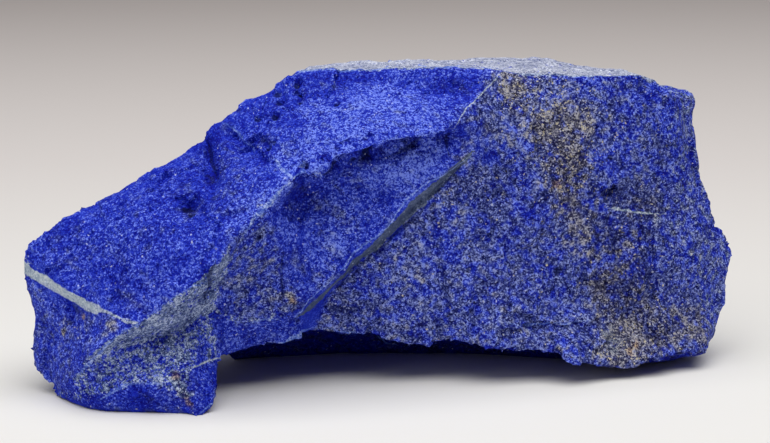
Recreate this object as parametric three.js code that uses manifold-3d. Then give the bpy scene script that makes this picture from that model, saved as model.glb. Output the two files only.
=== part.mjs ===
import * as THREE from 'three';
import { mergeVertices } from 'three/addons/utils/BufferGeometryUtils.js';
import { TessellateModifier } from 'three/addons/modifiers/TessellateModifier.js';
import { ImprovedNoise } from 'three/addons/math/ImprovedNoise.js';
import Module from 'manifold-3d';

// A rough lapis lazuli specimen, modelled as one broken stone.
// Its long axis runs along X, its best broken faces look towards -Y, and it rests on z = 0.
// Millimetres throughout.

const longestSide = 4.7;          // no triangle side on a fracture face is longer than this
const splitPasses = 14;           // enough passes of halving to bring every side under it
const relaxRounds = 70;           // passes that let the inside of a face settle between its edges
const swell = { height: 0.55, length: 11, seed: 3.7 };       // slow unevenness everywhere
const ripple = { height: 0.28, length: 4.6, seed: 8.3 };     // finer unevenness on top of it
const restDepth = -0.9;           // resting patches are drawn this low, then cut flat at z = 0
const scarSide = 6;               // size of the triangles of the balls that strike flake scars
const scarSeed = 1.4;             // keeps a scar's unevenness apart from that of its face
const weldGap = 1e-4;             // points closer than this are one point
const onEdgeGap = 0.01;           // a point this close to an edge lies on it
const floorBlockSize = [200, 120, 20];

// Corners, where three or more broken faces meet.
const corners = {
  westTip: [-63.5, -10, 24],
  crestWest: [-14.5, -1, 56.5],
  crestEast: [21.5, 0, 56.5],
  crestStep: [49.5, 4, 54.5],
  topCorner: [49, 15, 53.5],
  topStep: [23.5, 24, 55.5],
  topWest: [-8, 17, 55.5],
  arcWest: [-13, -6, 51.5],
  arcEast: [19, -3, 53],
  lipWest: [-15.5, -20, 40],
  lipEast: [14.5, -7, 49],
  apex: [16.5, -6.5, 42],
  ridgeBend: [-20, -22, 34.5],
  ridgeFoot: [-27, -26, 27],
  brinkFoot: [-14, -17.2, 15.5],
  paleEast: [-16.5, -17.8, 15.5],
  sillStep: [-13.5, -15.5, 11],
  sillFace: [-12, -14, 11],
  creaseLow: [-29, -18, 16],
  ledgeWest: [-52.5, -26, 7.5],
  veinEnd: [-43.5, -28, 15],
  veinBend: [-46.5, -25, 17.5],
  veinWest: [-63, -11, 20],
  westFoot: [-57.5, -17.5, restDepth],
  toeKnee: [-32.5, -28, 4],
  toeTop: [-32.5, -25, 7.5],
  toeFront: [-31.5, -29, restDepth],
  notch: [-28.5, -18.5, 7.5],
  shoulderWest: [51, 4.5, 52.5],
  shoulderRear: [50, 17, 51],
  ridgeTop: [54.3, 5, 51],
  rimTop: [58.5, 13, 50.4],
  eastFoot: [61.5, 4.5, 1.8],
  ledgeRear: [-22, 24.5, 20],
  restWest: [-26, 18, restDepth],
  restFront: [-27, 8, restDepth],
  saddle: [-31, -1, 6],
  soleInner: [-35, -11, restDepth],
  hemStep: [2, 24.5, restDepth],
  restEast: [50, 20, restDepth],
};

// Edges between the corners, each with the bends it passes through.
const edges = {
  brow: ['westTip', [-62.1, -9.2, 27.2], [-59.5, -9, 30.3], [-54.5, -8.5, 34.5], [-50, -8, 35], [-44, -7, 37.5],
    [-36, -5, 41], [-31.5, -4, 45], [-28.5, -3.5, 48], [-21, -2, 51.5], [-18, -1.5, 54.5],
    'crestWest'],
  crestCove: ['crestWest', [-10.5, 0, 56.5], [4, 1, 57], [13, 1, 57], 'crestEast'],
  crestFace: ['crestEast', [25, 1, 55.5], [33, 2, 55.2], [40.5, 2, 55], [45, 3, 55.5],
    'crestStep'],
  topEast: ['crestStep', [51, 10, 53.5], 'topCorner'],
  topRearEast: ['topCorner', [46.5, 17.5, 54], [42, 20, 54], [38.5, 22.5, 55], [33, 24, 56],
    'topStep'],
  topRearWest: ['topStep', [10, 23, 55.7], [4, 22, 56], [-3.5, 20, 55.5], 'topWest'],
  topWestEnd: ['topWest', [-11, 12, 55.5], [-13.5, 6, 56], 'crestWest'],

  coveWest: ['arcWest', [-13, -3.5, 54], 'crestWest'],
  arc: ['arcWest', [-8, -3, 53.5], [-0.5, -1.5, 54.7], [6.5, -1.5, 53.5], [14.5, -2, 51.5],
    'arcEast'],
  coveEast: ['arcEast', [20, -1.5, 54.5], 'crestEast'],
  shellSide: ['lipWest', [-17, -16.5, 44], [-16.5, -12, 47.5], 'arcWest'],
  lip: ['lipWest', [-9, -19, 41.5], [-6, -17.5, 44], [-1.5, -16, 44.5], [1.5, -15, 46],
    [7.5, -13, 46.5], [12, -10.5, 47], 'lipEast'],
  shellEast: ['lipEast', [16.5, -5, 51], 'arcEast'],
  recessFoot: ['lipWest', [-13, -17.5, 38.5], [-8.5, -14.5, 40], [-5, -12.7, 41], [1, -12, 41.5],
    [4.5, -11, 43], [8.5, -10.5, 44.3], [11.5, -9.2, 45.5], 'lipEast'],
  prow: ['lipEast', [14.5, -7, 45.5], 'apex'],

  brink: ['apex', [13, -9.2, 40], [9.5, -10.5, 37.5], [5.5, -11.8, 35], [2.5, -12.5, 30.5],
    [-2.5, -13.5, 27], [-6, -14.7, 22.5], [-9.5, -16, 19.5], 'brinkFoot'],
  stepFoot: ['apex', [10.5, -7.5, 35.5], [7, -9, 33], [2.5, -10, 27.5], [-3, -11, 23.5],
    [-7, -12, 19], [-9.5, -12.8, 17], 'sillFace'],
  troughFoot: ['brinkFoot', 'paleEast'],
  troughWest: ['paleEast', [-17, -18, 20], [-16.5, -19, 25.5], [-18, -20, 29.5], 'ridgeBend'],
  stepEnd: ['brinkFoot', 'sillStep'],
  stepSill: ['sillStep', 'sillFace'],

  ridgeHigh: ['ridgeBend', 'lipWest'],
  ridgeLow: ['ridgeFoot', [-24, -24, 32], 'ridgeBend'],
  ledgeBrink: ['veinEnd', [-40.5, -28, 17], [-35.5, -28, 20.5], [-30.5, -27.5, 23.5],
    'ridgeFoot'],
  ledgeEnd: ['ledgeWest', [-48.5, -28, 11.5], 'veinEnd'],
  veinTop: ['westTip', [-60.5, -13.5, 22.5], [-56, -17, 20.5], [-51.5, -21, 18.7], 'veinBend'],
  veinDrop: ['veinBend', 'veinEnd'],
  veinLow: ['veinWest', [-60, -13.3, 20], [-56, -17, 18], [-53, -19, 16.7], [-49, -23, 17],
    'veinBend'],
  veinHead: ['westTip', 'veinWest'],
  creaseHigh: ['ridgeFoot', [-28, -20.5, 21.5], 'creaseLow'],
  creaseLong: ['creaseLow', [-35, -20, 13.3], [-41.5, -24, 12.4], [-47.5, -27, 10.5],
    'ledgeWest'],
  pale: ['creaseLow', [-25.5, -18.7, 14.7], [-20.5, -18.7, 14.7], 'paleEast'],
  notchRise: ['notch', 'creaseLow'],

  west: ['veinWest', [-64.5, -10, 18.5], [-63.3, -10, 15], [-62.7, -10, 13.7],
    [-64.2, -9.5, 10.2], [-63, -11, 7.3], [-61, -13, 3.8], 'westFoot'],
  footEnd: ['ledgeWest', [-56, -21, 3], 'westFoot'],
  footRidge: ['westFoot', [-53, -24, 2.6], [-48.5, -27.5, 4], [-44, -28.5, 5.6],
    [-39.5, -28.5, 6.5], [-35, -28.5, 5], 'toeKnee'],
  toeUpper: ['toeKnee', 'toeTop'],
  toeSide: ['toeTop', [-30.5, -22, 7.8], 'notch'],
  toeRidge: ['toeKnee', 'toeFront'],
  footFront: ['westFoot', [-54, -20, restDepth], [-50.5, -24.5, restDepth],
    [-47, -26, restDepth], [-40, -26, restDepth], [-34.5, -27, restDepth], 'toeFront'],
  toeBase: ['toeFront', [-29, -27, 1], [-28.3, -25, 2.4], [-28, -23, 4], [-28.2, -21.5, 5.8],
    'notch'],

  sillWest: ['notch', [-27, -18, 7.7], [-23, -17.5, 9], [-17.5, -17, 9.5], 'sillStep'],
  faceSill: ['sillFace', [-5, -12, 10], [-0.5, -11, 9], [3, -10, 7.7], [9.5, -9, 6.8],
    [15, -7, 7.2], [18.5, -6.5, 6.2], [24, -5.5, 5.5], [29.5, -4.5, 4.7], [35, -3.5, 3.2],
    [39, -3, 1.8], [45, -1.5, 1.5], [51.5, 0, 2.2], 'eastFoot'],

  shoulderRise: ['crestStep', 'shoulderWest'],
  shoulderFront: ['shoulderWest', 'ridgeTop'],
  shoulderEast: ['ridgeTop', 'rimTop'],
  shoulderBack: ['rimTop', [57, 16, 50.5], 'shoulderRear'],
  shoulderInner: ['shoulderWest', [51.5, 10, 51.7], 'shoulderRear'],
  rearRise: ['shoulderRear', 'topCorner'],
  eastRidge: ['ridgeTop', [54.3, 4, 41], [54.3, 3.5, 29], [58, 4, 20], [60, 4, 12.5],
    'eastFoot'],
  eastRim: ['rimTop', [59.2, 12.5, 39.5], [60.5, 12, 35.5], [63, 12, 30], [65.8, 12, 24],
    [68.2, 12, 18], [67, 11.5, 14], [65.5, 11, 9], [64.5, 10.5, 4], 'eastFoot'],

  rearEdge: ['shoulderRear', [52, 22, 40], [53.5, 25, 22], [52.5, 24, 8], 'restEast'],
  hemEast: ['restEast', [36, 23.5, restDepth], [18, 23, restDepth], 'hemStep'],
  hemWest: ['hemStep', [-12, 23, restDepth], 'restWest'],
  rearBrink: ['hemStep', [-7, 28, 12], [-2, 29, 30], [10, 27.5, 45], 'topStep'],
  rearFoot: ['hemStep', [-3.5, 26, 12], [1.5, 26.8, 30], [13.5, 25.5, 45], 'topStep'],
  rearWestLow: ['restWest', [-25, 23, 9], 'ledgeRear'],
  rearWestHigh: ['ledgeRear', [-18, 25.5, 33], [-12.5, 22.5, 47], 'topWest'],
  rearLedge: ['ledgeRear', [-30, 18.5, 18], [-41, 11, 20.5], [-54, 2, 18.5], [-60, -4, 21],
    'westTip'],

  padWest: ['restWest', 'restFront'],
  saddleRear: ['restFront', 'saddle'],
  saddleFront: ['saddle', 'soleInner'],
  soleRear: ['soleInner', [-46, -13, restDepth], 'westFoot'],
  soleSide: ['toeFront', [-31, -22, restDepth], 'soleInner'],
  wallTop: ['notch', [-30, -10, 8], 'saddle'],
  restLine: ['restFront', [-6, 12, restDepth], [18, 12, restDepth], [38, 7, restDepth],
    [52, 5.5, restDepth], 'eastFoot'],
  padEast: ['eastFoot', [58, 12, restDepth], 'restEast'],
};

// Broken faces: the edges round each one, counter-clockwise from outside, with "-" for an
// edge walked backwards. bulge lifts the middle of the face outwards (below 0, hollows it).
const faces = [
  { name: 'slope', bulge: 1.6, loop: ['veinTop', 'veinDrop', 'ledgeBrink', 'ridgeLow',
    'ridgeHigh', 'shellSide', 'coveWest', '-brow'] },
  { name: 'cove', bulge: -0.6, loop: ['-coveWest', 'arc', 'coveEast', '-crestCove'] },
  { name: 'shell', bulge: 1.6, loop: ['-shellSide', 'lip', 'shellEast', '-arc'] },
  { name: 'recess', bulge: -1.3, loop: ['recessFoot', '-lip'] },
  { name: 'trough', bulge: -2.2, loop: ['-ridgeHigh', '-troughWest', '-troughFoot', '-brink',
    '-prow', '-recessFoot'] },
  { name: 'long step', bulge: -0.3, loop: ['stepEnd', 'stepSill', '-stepFoot', 'brink'] },
  { name: 'main face', bulge: 1.5, loop: ['-coveEast', '-shellEast', 'prow', 'stepFoot',
    'faceSill', '-eastRidge', '-shoulderFront', '-shoulderRise', '-crestFace'] },
  { name: 'east facet', bulge: 0.7, loop: ['eastRidge', '-eastRim', '-shoulderEast'] },
  { name: 'flank', bulge: -0.9, loop: ['-ridgeLow', 'creaseHigh', 'pale', 'troughWest'] },
  { name: 'flank foot', bulge: 0.4, loop: ['-notchRise', 'sillWest', '-stepEnd', 'troughFoot',
    '-pale'] },
  { name: 'ledge', bulge: 0.5, loop: ['-ledgeBrink', '-ledgeEnd', '-creaseLong',
    '-creaseHigh'] },
  { name: 'vein step', bulge: 0, loop: ['veinHead', 'veinLow', '-veinTop'] },
  { name: 'west end', bulge: 0.8, loop: ['west', '-footEnd', 'ledgeEnd', '-veinDrop',
    '-veinLow'] },
  { name: 'foot face', bulge: 0.8, loop: ['footEnd', 'footRidge', 'toeUpper', 'toeSide',
    'notchRise', 'creaseLong'] },
  { name: 'foot lip', bulge: 0.2, loop: ['footFront', '-toeRidge', '-footRidge'] },
  { name: 'toe', bulge: 0.3, loop: ['toeRidge', 'toeBase', '-toeSide', '-toeUpper'] },
  { name: 'top', bulge: 0.5, loop: ['crestCove', 'crestFace', 'topEast', 'topRearEast',
    'topRearWest', 'topWestEnd'] },
  { name: 'shoulder riser', bulge: 0, loop: ['shoulderRise', 'shoulderInner', 'rearRise',
    '-topEast'] },
  { name: 'shoulder', bulge: 0.2, loop: ['shoulderFront', 'shoulderEast', 'shoulderBack',
    '-shoulderInner'] },
  { name: 'rear east', bulge: 2.2, loop: ['-topRearEast', '-rearRise', 'rearEdge', 'hemEast',
    'rearFoot'] },
  { name: 'rear step', bulge: 0, loop: ['rearBrink', '-rearFoot'] },
  { name: 'rear west', bulge: 1.2, loop: ['-rearBrink', 'hemWest', 'rearWestLow',
    'rearWestHigh', '-topRearWest'] },
  { name: 'rear slope', bulge: 2.6, loop: ['brow', '-topWestEnd', '-rearWestHigh',
    'rearLedge'] },
  { name: 'undercut', bulge: -1.5, loop: ['-rearLedge', '-rearWestLow', 'padWest',
    'saddleRear', 'saddleFront', 'soleRear', '-west', '-veinHead'] },
  { name: 'rear end', bulge: 1.2, loop: ['eastRim', 'padEast', '-rearEdge',
    '-shoulderBack'] },
  { name: 'sole', bulge: 0, loop: ['-footFront', '-soleRear', '-soleSide'] },
  { name: 'foot wall', bulge: 0, loop: ['-toeBase', 'soleSide', '-saddleFront', '-wallTop'] },
  { name: 'arch', bulge: -6, loop: ['-faceSill', '-stepSill', '-sillWest', 'wallTop',
    '-saddleRear', 'restLine'] },
  { name: 'pad', bulge: 0, loop: ['-restLine', '-padWest', '-hemWest', '-hemEast',
    '-padEast'] },
];

// The rim of the shell runs on into the slope without a break, so it is left free to settle.
const softEdges = ['shellSide', 'rearWestHigh'];

// Hollows and lumps pressed into the faces: where, how far they reach, and the push.
const dents = [
  { name: 'bowl in the trough', at: [-11.5, -17, 35], reach: 6.5, push: [0.8, 3.6, 0.2] },
  { name: 'foot of the trough', at: [-14, -16.5, 22], reach: 4.5, push: [0.3, 1.2, 0] },
  { name: 'flank scallop', at: [-20, -20, 22], reach: 5, push: [0, 1.6, 0] },
  { name: 'groove down the slope', at: [-31, -13, 40], reach: 3, push: [0.3, 1.2, -1.2] },
  { name: 'notch in the slope', at: [-33, -17, 35.5], reach: 2.8, push: [0.5, 1.4, -1] },
  { name: 'panel beside the groove', at: [-24, -11, 46], reach: 5.5, push: [0, 0.8, -1] },
  { name: 'lump under the brow', at: [-41, -17, 32], reach: 7, push: [-0.6, -0.9, 0.9] },
  { name: 'slope foot', at: [-35, -23, 29], reach: 6, push: [-0.4, -0.9, 0.5] },
  { name: 'hollow beside the apex', at: [21, -6, 38], reach: 6, push: [0, 1.4, 0] },
  { name: 'hollow over the east ledge', at: [49, 1, 34], reach: 6.5, push: [0, 1.6, 0] },
  { name: 'lump under it', at: [49, 0, 25], reach: 6, push: [0, -0.9, 0] },
  { name: 'sill panel', at: [31, -5, 8], reach: 5.5, push: [0, 1.3, 0] },
  { name: 'lump over the sill', at: [22, -7, 18], reach: 9, push: [0, -1.1, 0] },
  { name: 'crest of the main face', at: [33, 1, 50], reach: 8, push: [0, 0.9, 0] },
  { name: 'east facet hollow', at: [60, 7, 30], reach: 6, push: [-1.2, 0.6, 0] },
  { name: 'foot hollow', at: [-42, -25.5, 9.5], reach: 4.5, push: [0, 0.9, -0.3] },
  { name: 'west end hollow', at: [-57, -17.5, 12], reach: 5, push: [0.9, 0.8, 0] },
];

// Broad, shallow flake scars: each is struck at the point of the surface nearest to `near`.
const scars = [
  { near: [40, 28, 42], facing: [0.3, 1, 0.3], halfWidth: 16, depth: 1.6 },
  { near: [22, 30, 22], facing: [-0.05, 1, -0.15], halfWidth: 15, depth: 1.3 },
  { near: [44, 27, 14], facing: [0.35, 1, -0.3], halfWidth: 13, depth: 1.5 },
  { near: [18, 28, 48], facing: [-0.1, 1, 0.35], halfWidth: 10, depth: 1.2 },
  { near: [-12, 28, 15], facing: [-0.3, 1, -0.35], halfWidth: 12, depth: 1.4 },
  { near: [-5, 27, 44], facing: [-0.25, 1, 0.3], halfWidth: 12, depth: 1.4 },
  { near: [-20, 18, 46], facing: [-0.65, 0.5, 0.6], halfWidth: 14, depth: 1.8 },
  { near: [-38, 9, 37], facing: [-0.45, 0.5, 0.8], halfWidth: 12, depth: 1.3 },
  { near: [-53, -3, 29], facing: [-0.6, 0.6, 0.5], halfWidth: 10, depth: 1.2 },
  { near: [-31, 17, 26], facing: [-0.6, 0.9, 0.05], halfWidth: 11, depth: 1.5 },
  { near: [-44, 9, 25], facing: [-0.55, 0.8, 0.25], halfWidth: 10, depth: 1.2 },
  { near: [-45, 4, 13], facing: [-0.5, 0.6, -0.6], halfWidth: 10, depth: 1 },
  { near: [-62, -8, 12], facing: [-0.85, 0.5, 0], halfWidth: 7, depth: 0.8 },
  { near: [61, 19, 38], facing: [0.8, 0.6, 0.15], halfWidth: 12, depth: 1.4 },
  { near: [62, 18, 14], facing: [0.75, 0.6, -0.25], halfWidth: 10, depth: 1.3 },
  { near: [8, 12, 57], facing: [0, 0.1, 1], halfWidth: 10, depth: 0.6 },
  { near: [36, 12, 56], facing: [0.1, 0, 1], halfWidth: 8, depth: 0.5 },
];

const spot = (entry) => new THREE.Vector3(...(typeof entry === 'string' ? corners[entry] : entry));

// The bends of an edge in order, backwards where its name starts with "-".
const walk = (name) => {
  const backwards = name.startsWith('-');
  const bends = edges[backwards ? name.slice(1) : name].map(spot);
  return backwards ? bends.reverse() : bends;
};

const outline = (face) => face.loop.flatMap((name) => walk(name).slice(0, -1));

const meanNormal = (loop) => {
  const normal = new THREE.Vector3();
  loop.forEach((point, i) => {
    normal.add(new THREE.Vector3().crossVectors(point, loop[(i + 1) % loop.length]));
  });
  return normal.normalize();
};

// Lays an outline flat, fills it with triangles and halves their long sides.
const fillFace = (face) => {
  const loop = outline(face);
  const normal = meanNormal(loop);
  const turn = new THREE.Quaternion().setFromUnitVectors(normal, new THREE.Vector3(0, 0, 1));
  const flat = loop.map((point) => {
    const turned = point.clone().applyQuaternion(turn);
    return new THREE.Vector2(turned.x, turned.y);
  });
  const bigTriangles = THREE.ShapeUtils.triangulateShape(flat, []).flat().map((i) => loop[i]);
  const filling = new THREE.BufferGeometry().setFromPoints(bigTriangles);
  const split = new TessellateModifier(longestSide, splitPasses).modify(filling);
  return { place: split.getAttribute('position'), normal, bulge: face.bulge, crown: 0 };
};

// One list of points for the whole stone: each knows its neighbours and the faces it is on.
const points = new Map();

const pointAt = (place, i) => {
  const at = new THREE.Vector3().fromBufferAttribute(place, i);
  const key = at.toArray().map((value) => Math.round(value / weldGap)).join();
  if (!points.has(key)) {
    points.set(key, { at, near: new Set(), faces: new Set(), lift: 0 });
  }
  return points.get(key);
};

const trianglesOf = (face) => {
  const triangles = [];
  for (let i = 0; i < face.place.count; i += 3) {
    const triangle = [0, 1, 2].map((step) => pointAt(face.place, i + step));
    triangle.forEach((point) => {
      point.faces.add(face);
      triangle.filter((other) => other !== point).forEach((other) => point.near.add(other));
    });
    triangles.push(triangle);
  }
  return triangles;
};

const filledFaces = faces.map(fillFace);
const triangles = filledFaces.flatMap(trianglesOf);

// Points along a soft edge are free like those inside a face. All other edges stay as drawn.
const liesOn = (point, bends) => bends.slice(1).some((end, i) => {
  const nearest = new THREE.Vector3();
  new THREE.Line3(bends[i], end).closestPointToPoint(point.at, true, nearest);
  return nearest.distanceTo(point.at) < onEdgeGap;
});

const onSoftEdge = (point) => softEdges.map(walk).some((bends) => {
  const ends = [bends[0], bends[bends.length - 1]];
  return liesOn(point, bends) && ends.every((end) => end.distanceTo(point.at) > onEdgeGap);
});

const free = [...points.values()].filter((point) => point.faces.size === 1 || onSoftEdge(point));

// Free points settle halfway between their neighbours, and each face gains a dome of lifts.
const settle = (point) => {
  const near = [...point.near];
  const sum = near.reduce((total, other) => total.add(other.at), new THREE.Vector3());
  const lifts = near.reduce((total, other) => total + other.lift, 0);
  point.at.copy(sum.divideScalar(near.length));
  point.lift = lifts / near.length + 1;
};

for (let round = 0; round < relaxRounds; round += 1) {
  free.forEach(settle);
}
free.forEach((point) => point.faces.forEach((face) => {
  face.crown = Math.max(face.crown, point.lift);
}));
free.forEach((point) => point.faces.forEach((face) => {
  const rise = face.bulge * point.lift / face.crown / point.faces.size;
  point.at.addScaledVector(face.normal, rise);
}));

// Each dent pushes the points near it, fading out smoothly with distance.
points.forEach((point) => {
  const drawn = point.at.clone();
  dents.forEach(({ at, reach, push }) => {
    const away = drawn.distanceTo(spot(at)) / reach;
    point.at.addScaledVector(new THREE.Vector3(...push), Math.exp(-away * away));
  });
});

// Smooth noise moves a point in all three directions.
const noise = new ImprovedNoise();
const waver = (at, { height, length, seed }) => {
  const { x, y, z } = at.clone().divideScalar(length);
  return new THREE.Vector3(
    noise.noise(x + seed, y, z),
    noise.noise(x, y + seed, z),
    noise.noise(x, y, z + seed),
  ).multiplyScalar(height);
};

points.forEach((point) => {
  point.at.add(waver(point.at, swell));
  point.at.add(waver(point.at, ripple));
});

const wasm = await Module();
wasm.setup();

const bareCopy = (geometry) => {
  const bare = geometry.clone();
  bare.deleteAttribute('normal');
  bare.deleteAttribute('uv');
  return mergeVertices(bare, weldGap);
};

const toSolid = (geometry) => {
  const joined = bareCopy(geometry);
  return new wasm.Manifold(new wasm.Mesh({
    numProp: 3,
    vertProperties: new Float32Array(joined.getAttribute('position').array),
    triVerts: new Uint32Array(joined.getIndex().array),
  }));
};

const toGeometry = (solid) => {
  const mesh = solid.getMesh();
  const geometry = new THREE.BufferGeometry();
  geometry.setAttribute('position', new THREE.BufferAttribute(mesh.vertProperties, 3));
  geometry.setIndex(new THREE.BufferAttribute(mesh.triVerts, 1));
  return geometry;
};

const nearestPoint = (target) => [...points.values()]
  .map((point) => point.at)
  .reduce((best, at) => (at.distanceTo(target) < best.distanceTo(target) ? at : best));

// A flake scar is the shallow cap that a big, slightly uneven ball cuts out of a face.
const scarTool = ({ near, facing, halfWidth, depth }) => {
  const radius = (halfWidth ** 2 + depth ** 2) / (2 * depth);
  const around = 2 * Math.ceil((Math.PI * radius) / scarSide);
  const out = new THREE.Vector3(...facing).normalize();
  const middle = nearestPoint(spot(near)).clone().addScaledVector(out, radius - depth);
  const ball = bareCopy(new THREE.SphereGeometry(radius, around, around / 2));
  ball.translate(middle.x, middle.y, middle.z);
  const skin = ball.getAttribute('position');
  for (let i = 0; i < skin.count; i += 1) {
    const at = new THREE.Vector3().fromBufferAttribute(skin, i);
    at.add(waver(at, { ...swell, seed: swell.seed + scarSeed }));
    at.add(waver(at, { ...ripple, seed: ripple.seed + scarSeed }));
    skin.setXYZ(i, at.x, at.y, at.z);
  }
  return ball;
};

const unstruck = new THREE.BufferGeometry().setFromPoints(triangles.flat().map(({ at }) => at));
const floorBlock = new THREE.BoxGeometry(...floorBlockSize);
floorBlock.translate(0, 0, -floorBlockSize[2] / 2);

const stone = [...scars.map(scarTool), floorBlock].reduce(
  (solid, cutter) => solid.subtract(toSolid(cutter)),
  toSolid(unstruck),
);

// The origin goes under the middle of the stone.
const shape = toGeometry(stone);
shape.computeBoundingBox();
const middle = shape.boundingBox.getCenter(new THREE.Vector3());
shape.translate(-middle.x, -middle.y, 0);
shape.computeVertexNormals();

const lapis = new THREE.MeshStandardMaterial({ color: '#23419a', roughness: 0.62, metalness: 0 });
lapis.name = 'lapis lazuli';

const specimen = new THREE.Mesh(shape, lapis);
specimen.name = 'lapis_stone';

const group = new THREE.Group();
group.name = 'lapis_lazuli_specimen';
group.add(specimen);

export default group;
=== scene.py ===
import heapq
import math

import bmesh
import bpy
import numpy as np
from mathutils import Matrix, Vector, noise
from mathutils.bvhtree import BVHTree


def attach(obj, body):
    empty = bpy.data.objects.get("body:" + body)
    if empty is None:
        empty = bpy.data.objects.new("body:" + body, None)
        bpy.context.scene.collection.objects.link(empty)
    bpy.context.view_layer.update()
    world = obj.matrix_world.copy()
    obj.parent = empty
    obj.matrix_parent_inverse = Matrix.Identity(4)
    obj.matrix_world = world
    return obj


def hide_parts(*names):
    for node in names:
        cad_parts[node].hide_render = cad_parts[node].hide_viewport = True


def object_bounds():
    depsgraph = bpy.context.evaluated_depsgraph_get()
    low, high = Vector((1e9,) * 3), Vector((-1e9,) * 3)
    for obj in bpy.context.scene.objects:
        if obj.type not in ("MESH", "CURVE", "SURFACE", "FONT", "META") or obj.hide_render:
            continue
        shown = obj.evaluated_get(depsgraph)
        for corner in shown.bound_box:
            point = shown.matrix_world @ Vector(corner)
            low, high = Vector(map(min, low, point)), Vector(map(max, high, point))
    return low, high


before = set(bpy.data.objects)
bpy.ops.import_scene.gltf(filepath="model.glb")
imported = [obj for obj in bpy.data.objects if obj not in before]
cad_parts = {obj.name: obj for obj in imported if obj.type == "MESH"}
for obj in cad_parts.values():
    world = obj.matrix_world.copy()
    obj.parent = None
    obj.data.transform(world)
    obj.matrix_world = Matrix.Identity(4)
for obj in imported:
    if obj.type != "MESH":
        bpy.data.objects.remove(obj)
cadLow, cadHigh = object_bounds()
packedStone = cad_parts["lapis_stone"].data
scene = bpy.context.scene
scene.view_settings.view_transform = "Standard"      # keeps the deep blue as it is mixed
mm = 0.001
noise.seed_set(7)      # without a seed of its own, noise_vector follows the clock
print("stage 1: the packed stone is loaded")


# camera

cameraLook = {
    "target": (-0.68, 0.132, 28.4),     # mm, the middle of the frame
    "distance": 393,                    # mm
    "elevation": 12,                    # degrees over the horizon
    "lens": 100,
    "sensor": 36,
    "clip": (0.01, 30),                 # metres
    "frame": (770, 443),                # pixels, in which places on the stone are given as u, v
}


def cameraAxes(look):
    # where the camera stands, in mm, and its ways forward and up
    rise = math.radians(look["elevation"])
    forward = Vector((0, math.cos(rise), -math.sin(rise)))
    upward = Vector((0, math.sin(rise), math.cos(rise)))
    return Vector(look["target"]) - forward * look["distance"], forward, upward


def placeCamera(look):
    data = bpy.data.cameras.new("camera")
    data.lens = look["lens"]
    data.sensor_width = look["sensor"]
    data.clip_start, data.clip_end = look["clip"]
    camera = bpy.data.objects.new("camera", data)
    camera.location = cameraAxes(look)[0] * mm
    camera.rotation_euler = (math.pi / 2 - math.radians(look["elevation"]), 0, 0)
    scene.collection.objects.link(camera)
    scene.camera = camera


placeCamera(cameraLook)


# node helpers, for materials and for geometry

def tint(red, green, blue):
    # screen colour, 0 to 255, to the light values that a shader takes
    shares = [value / 255 for value in (red, green, blue)]
    return tuple(s / 12.92 if s < 0.04045 else ((s + 0.055) / 1.055) ** 2.4 for s in shares)


def isWide(term):
    if isinstance(term, Wire):
        return term.socket.type in ("VECTOR", "RGBA")
    return isinstance(term, tuple)


class Wire:
    # a node's output that can be used in plain sums
    def __init__(self, bench, socket):
        self.bench = bench
        self.socket = socket

    def __add__(self, other):
        return self.bench.maths("ADD", self, other)

    def __radd__(self, other):
        return self.bench.maths("ADD", other, self)

    def __sub__(self, other):
        return self.bench.maths("SUBTRACT", self, other)

    def __rsub__(self, other):
        return self.bench.maths("SUBTRACT", other, self)

    def __mul__(self, other):
        return self.bench.maths("MULTIPLY", self, other)

    def __rmul__(self, other):
        return self.bench.maths("MULTIPLY", other, self)

    def __truediv__(self, other):
        return self.bench.maths("DIVIDE", self, other)

    def __rtruediv__(self, other):
        return self.bench.maths("DIVIDE", other, self)


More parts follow.
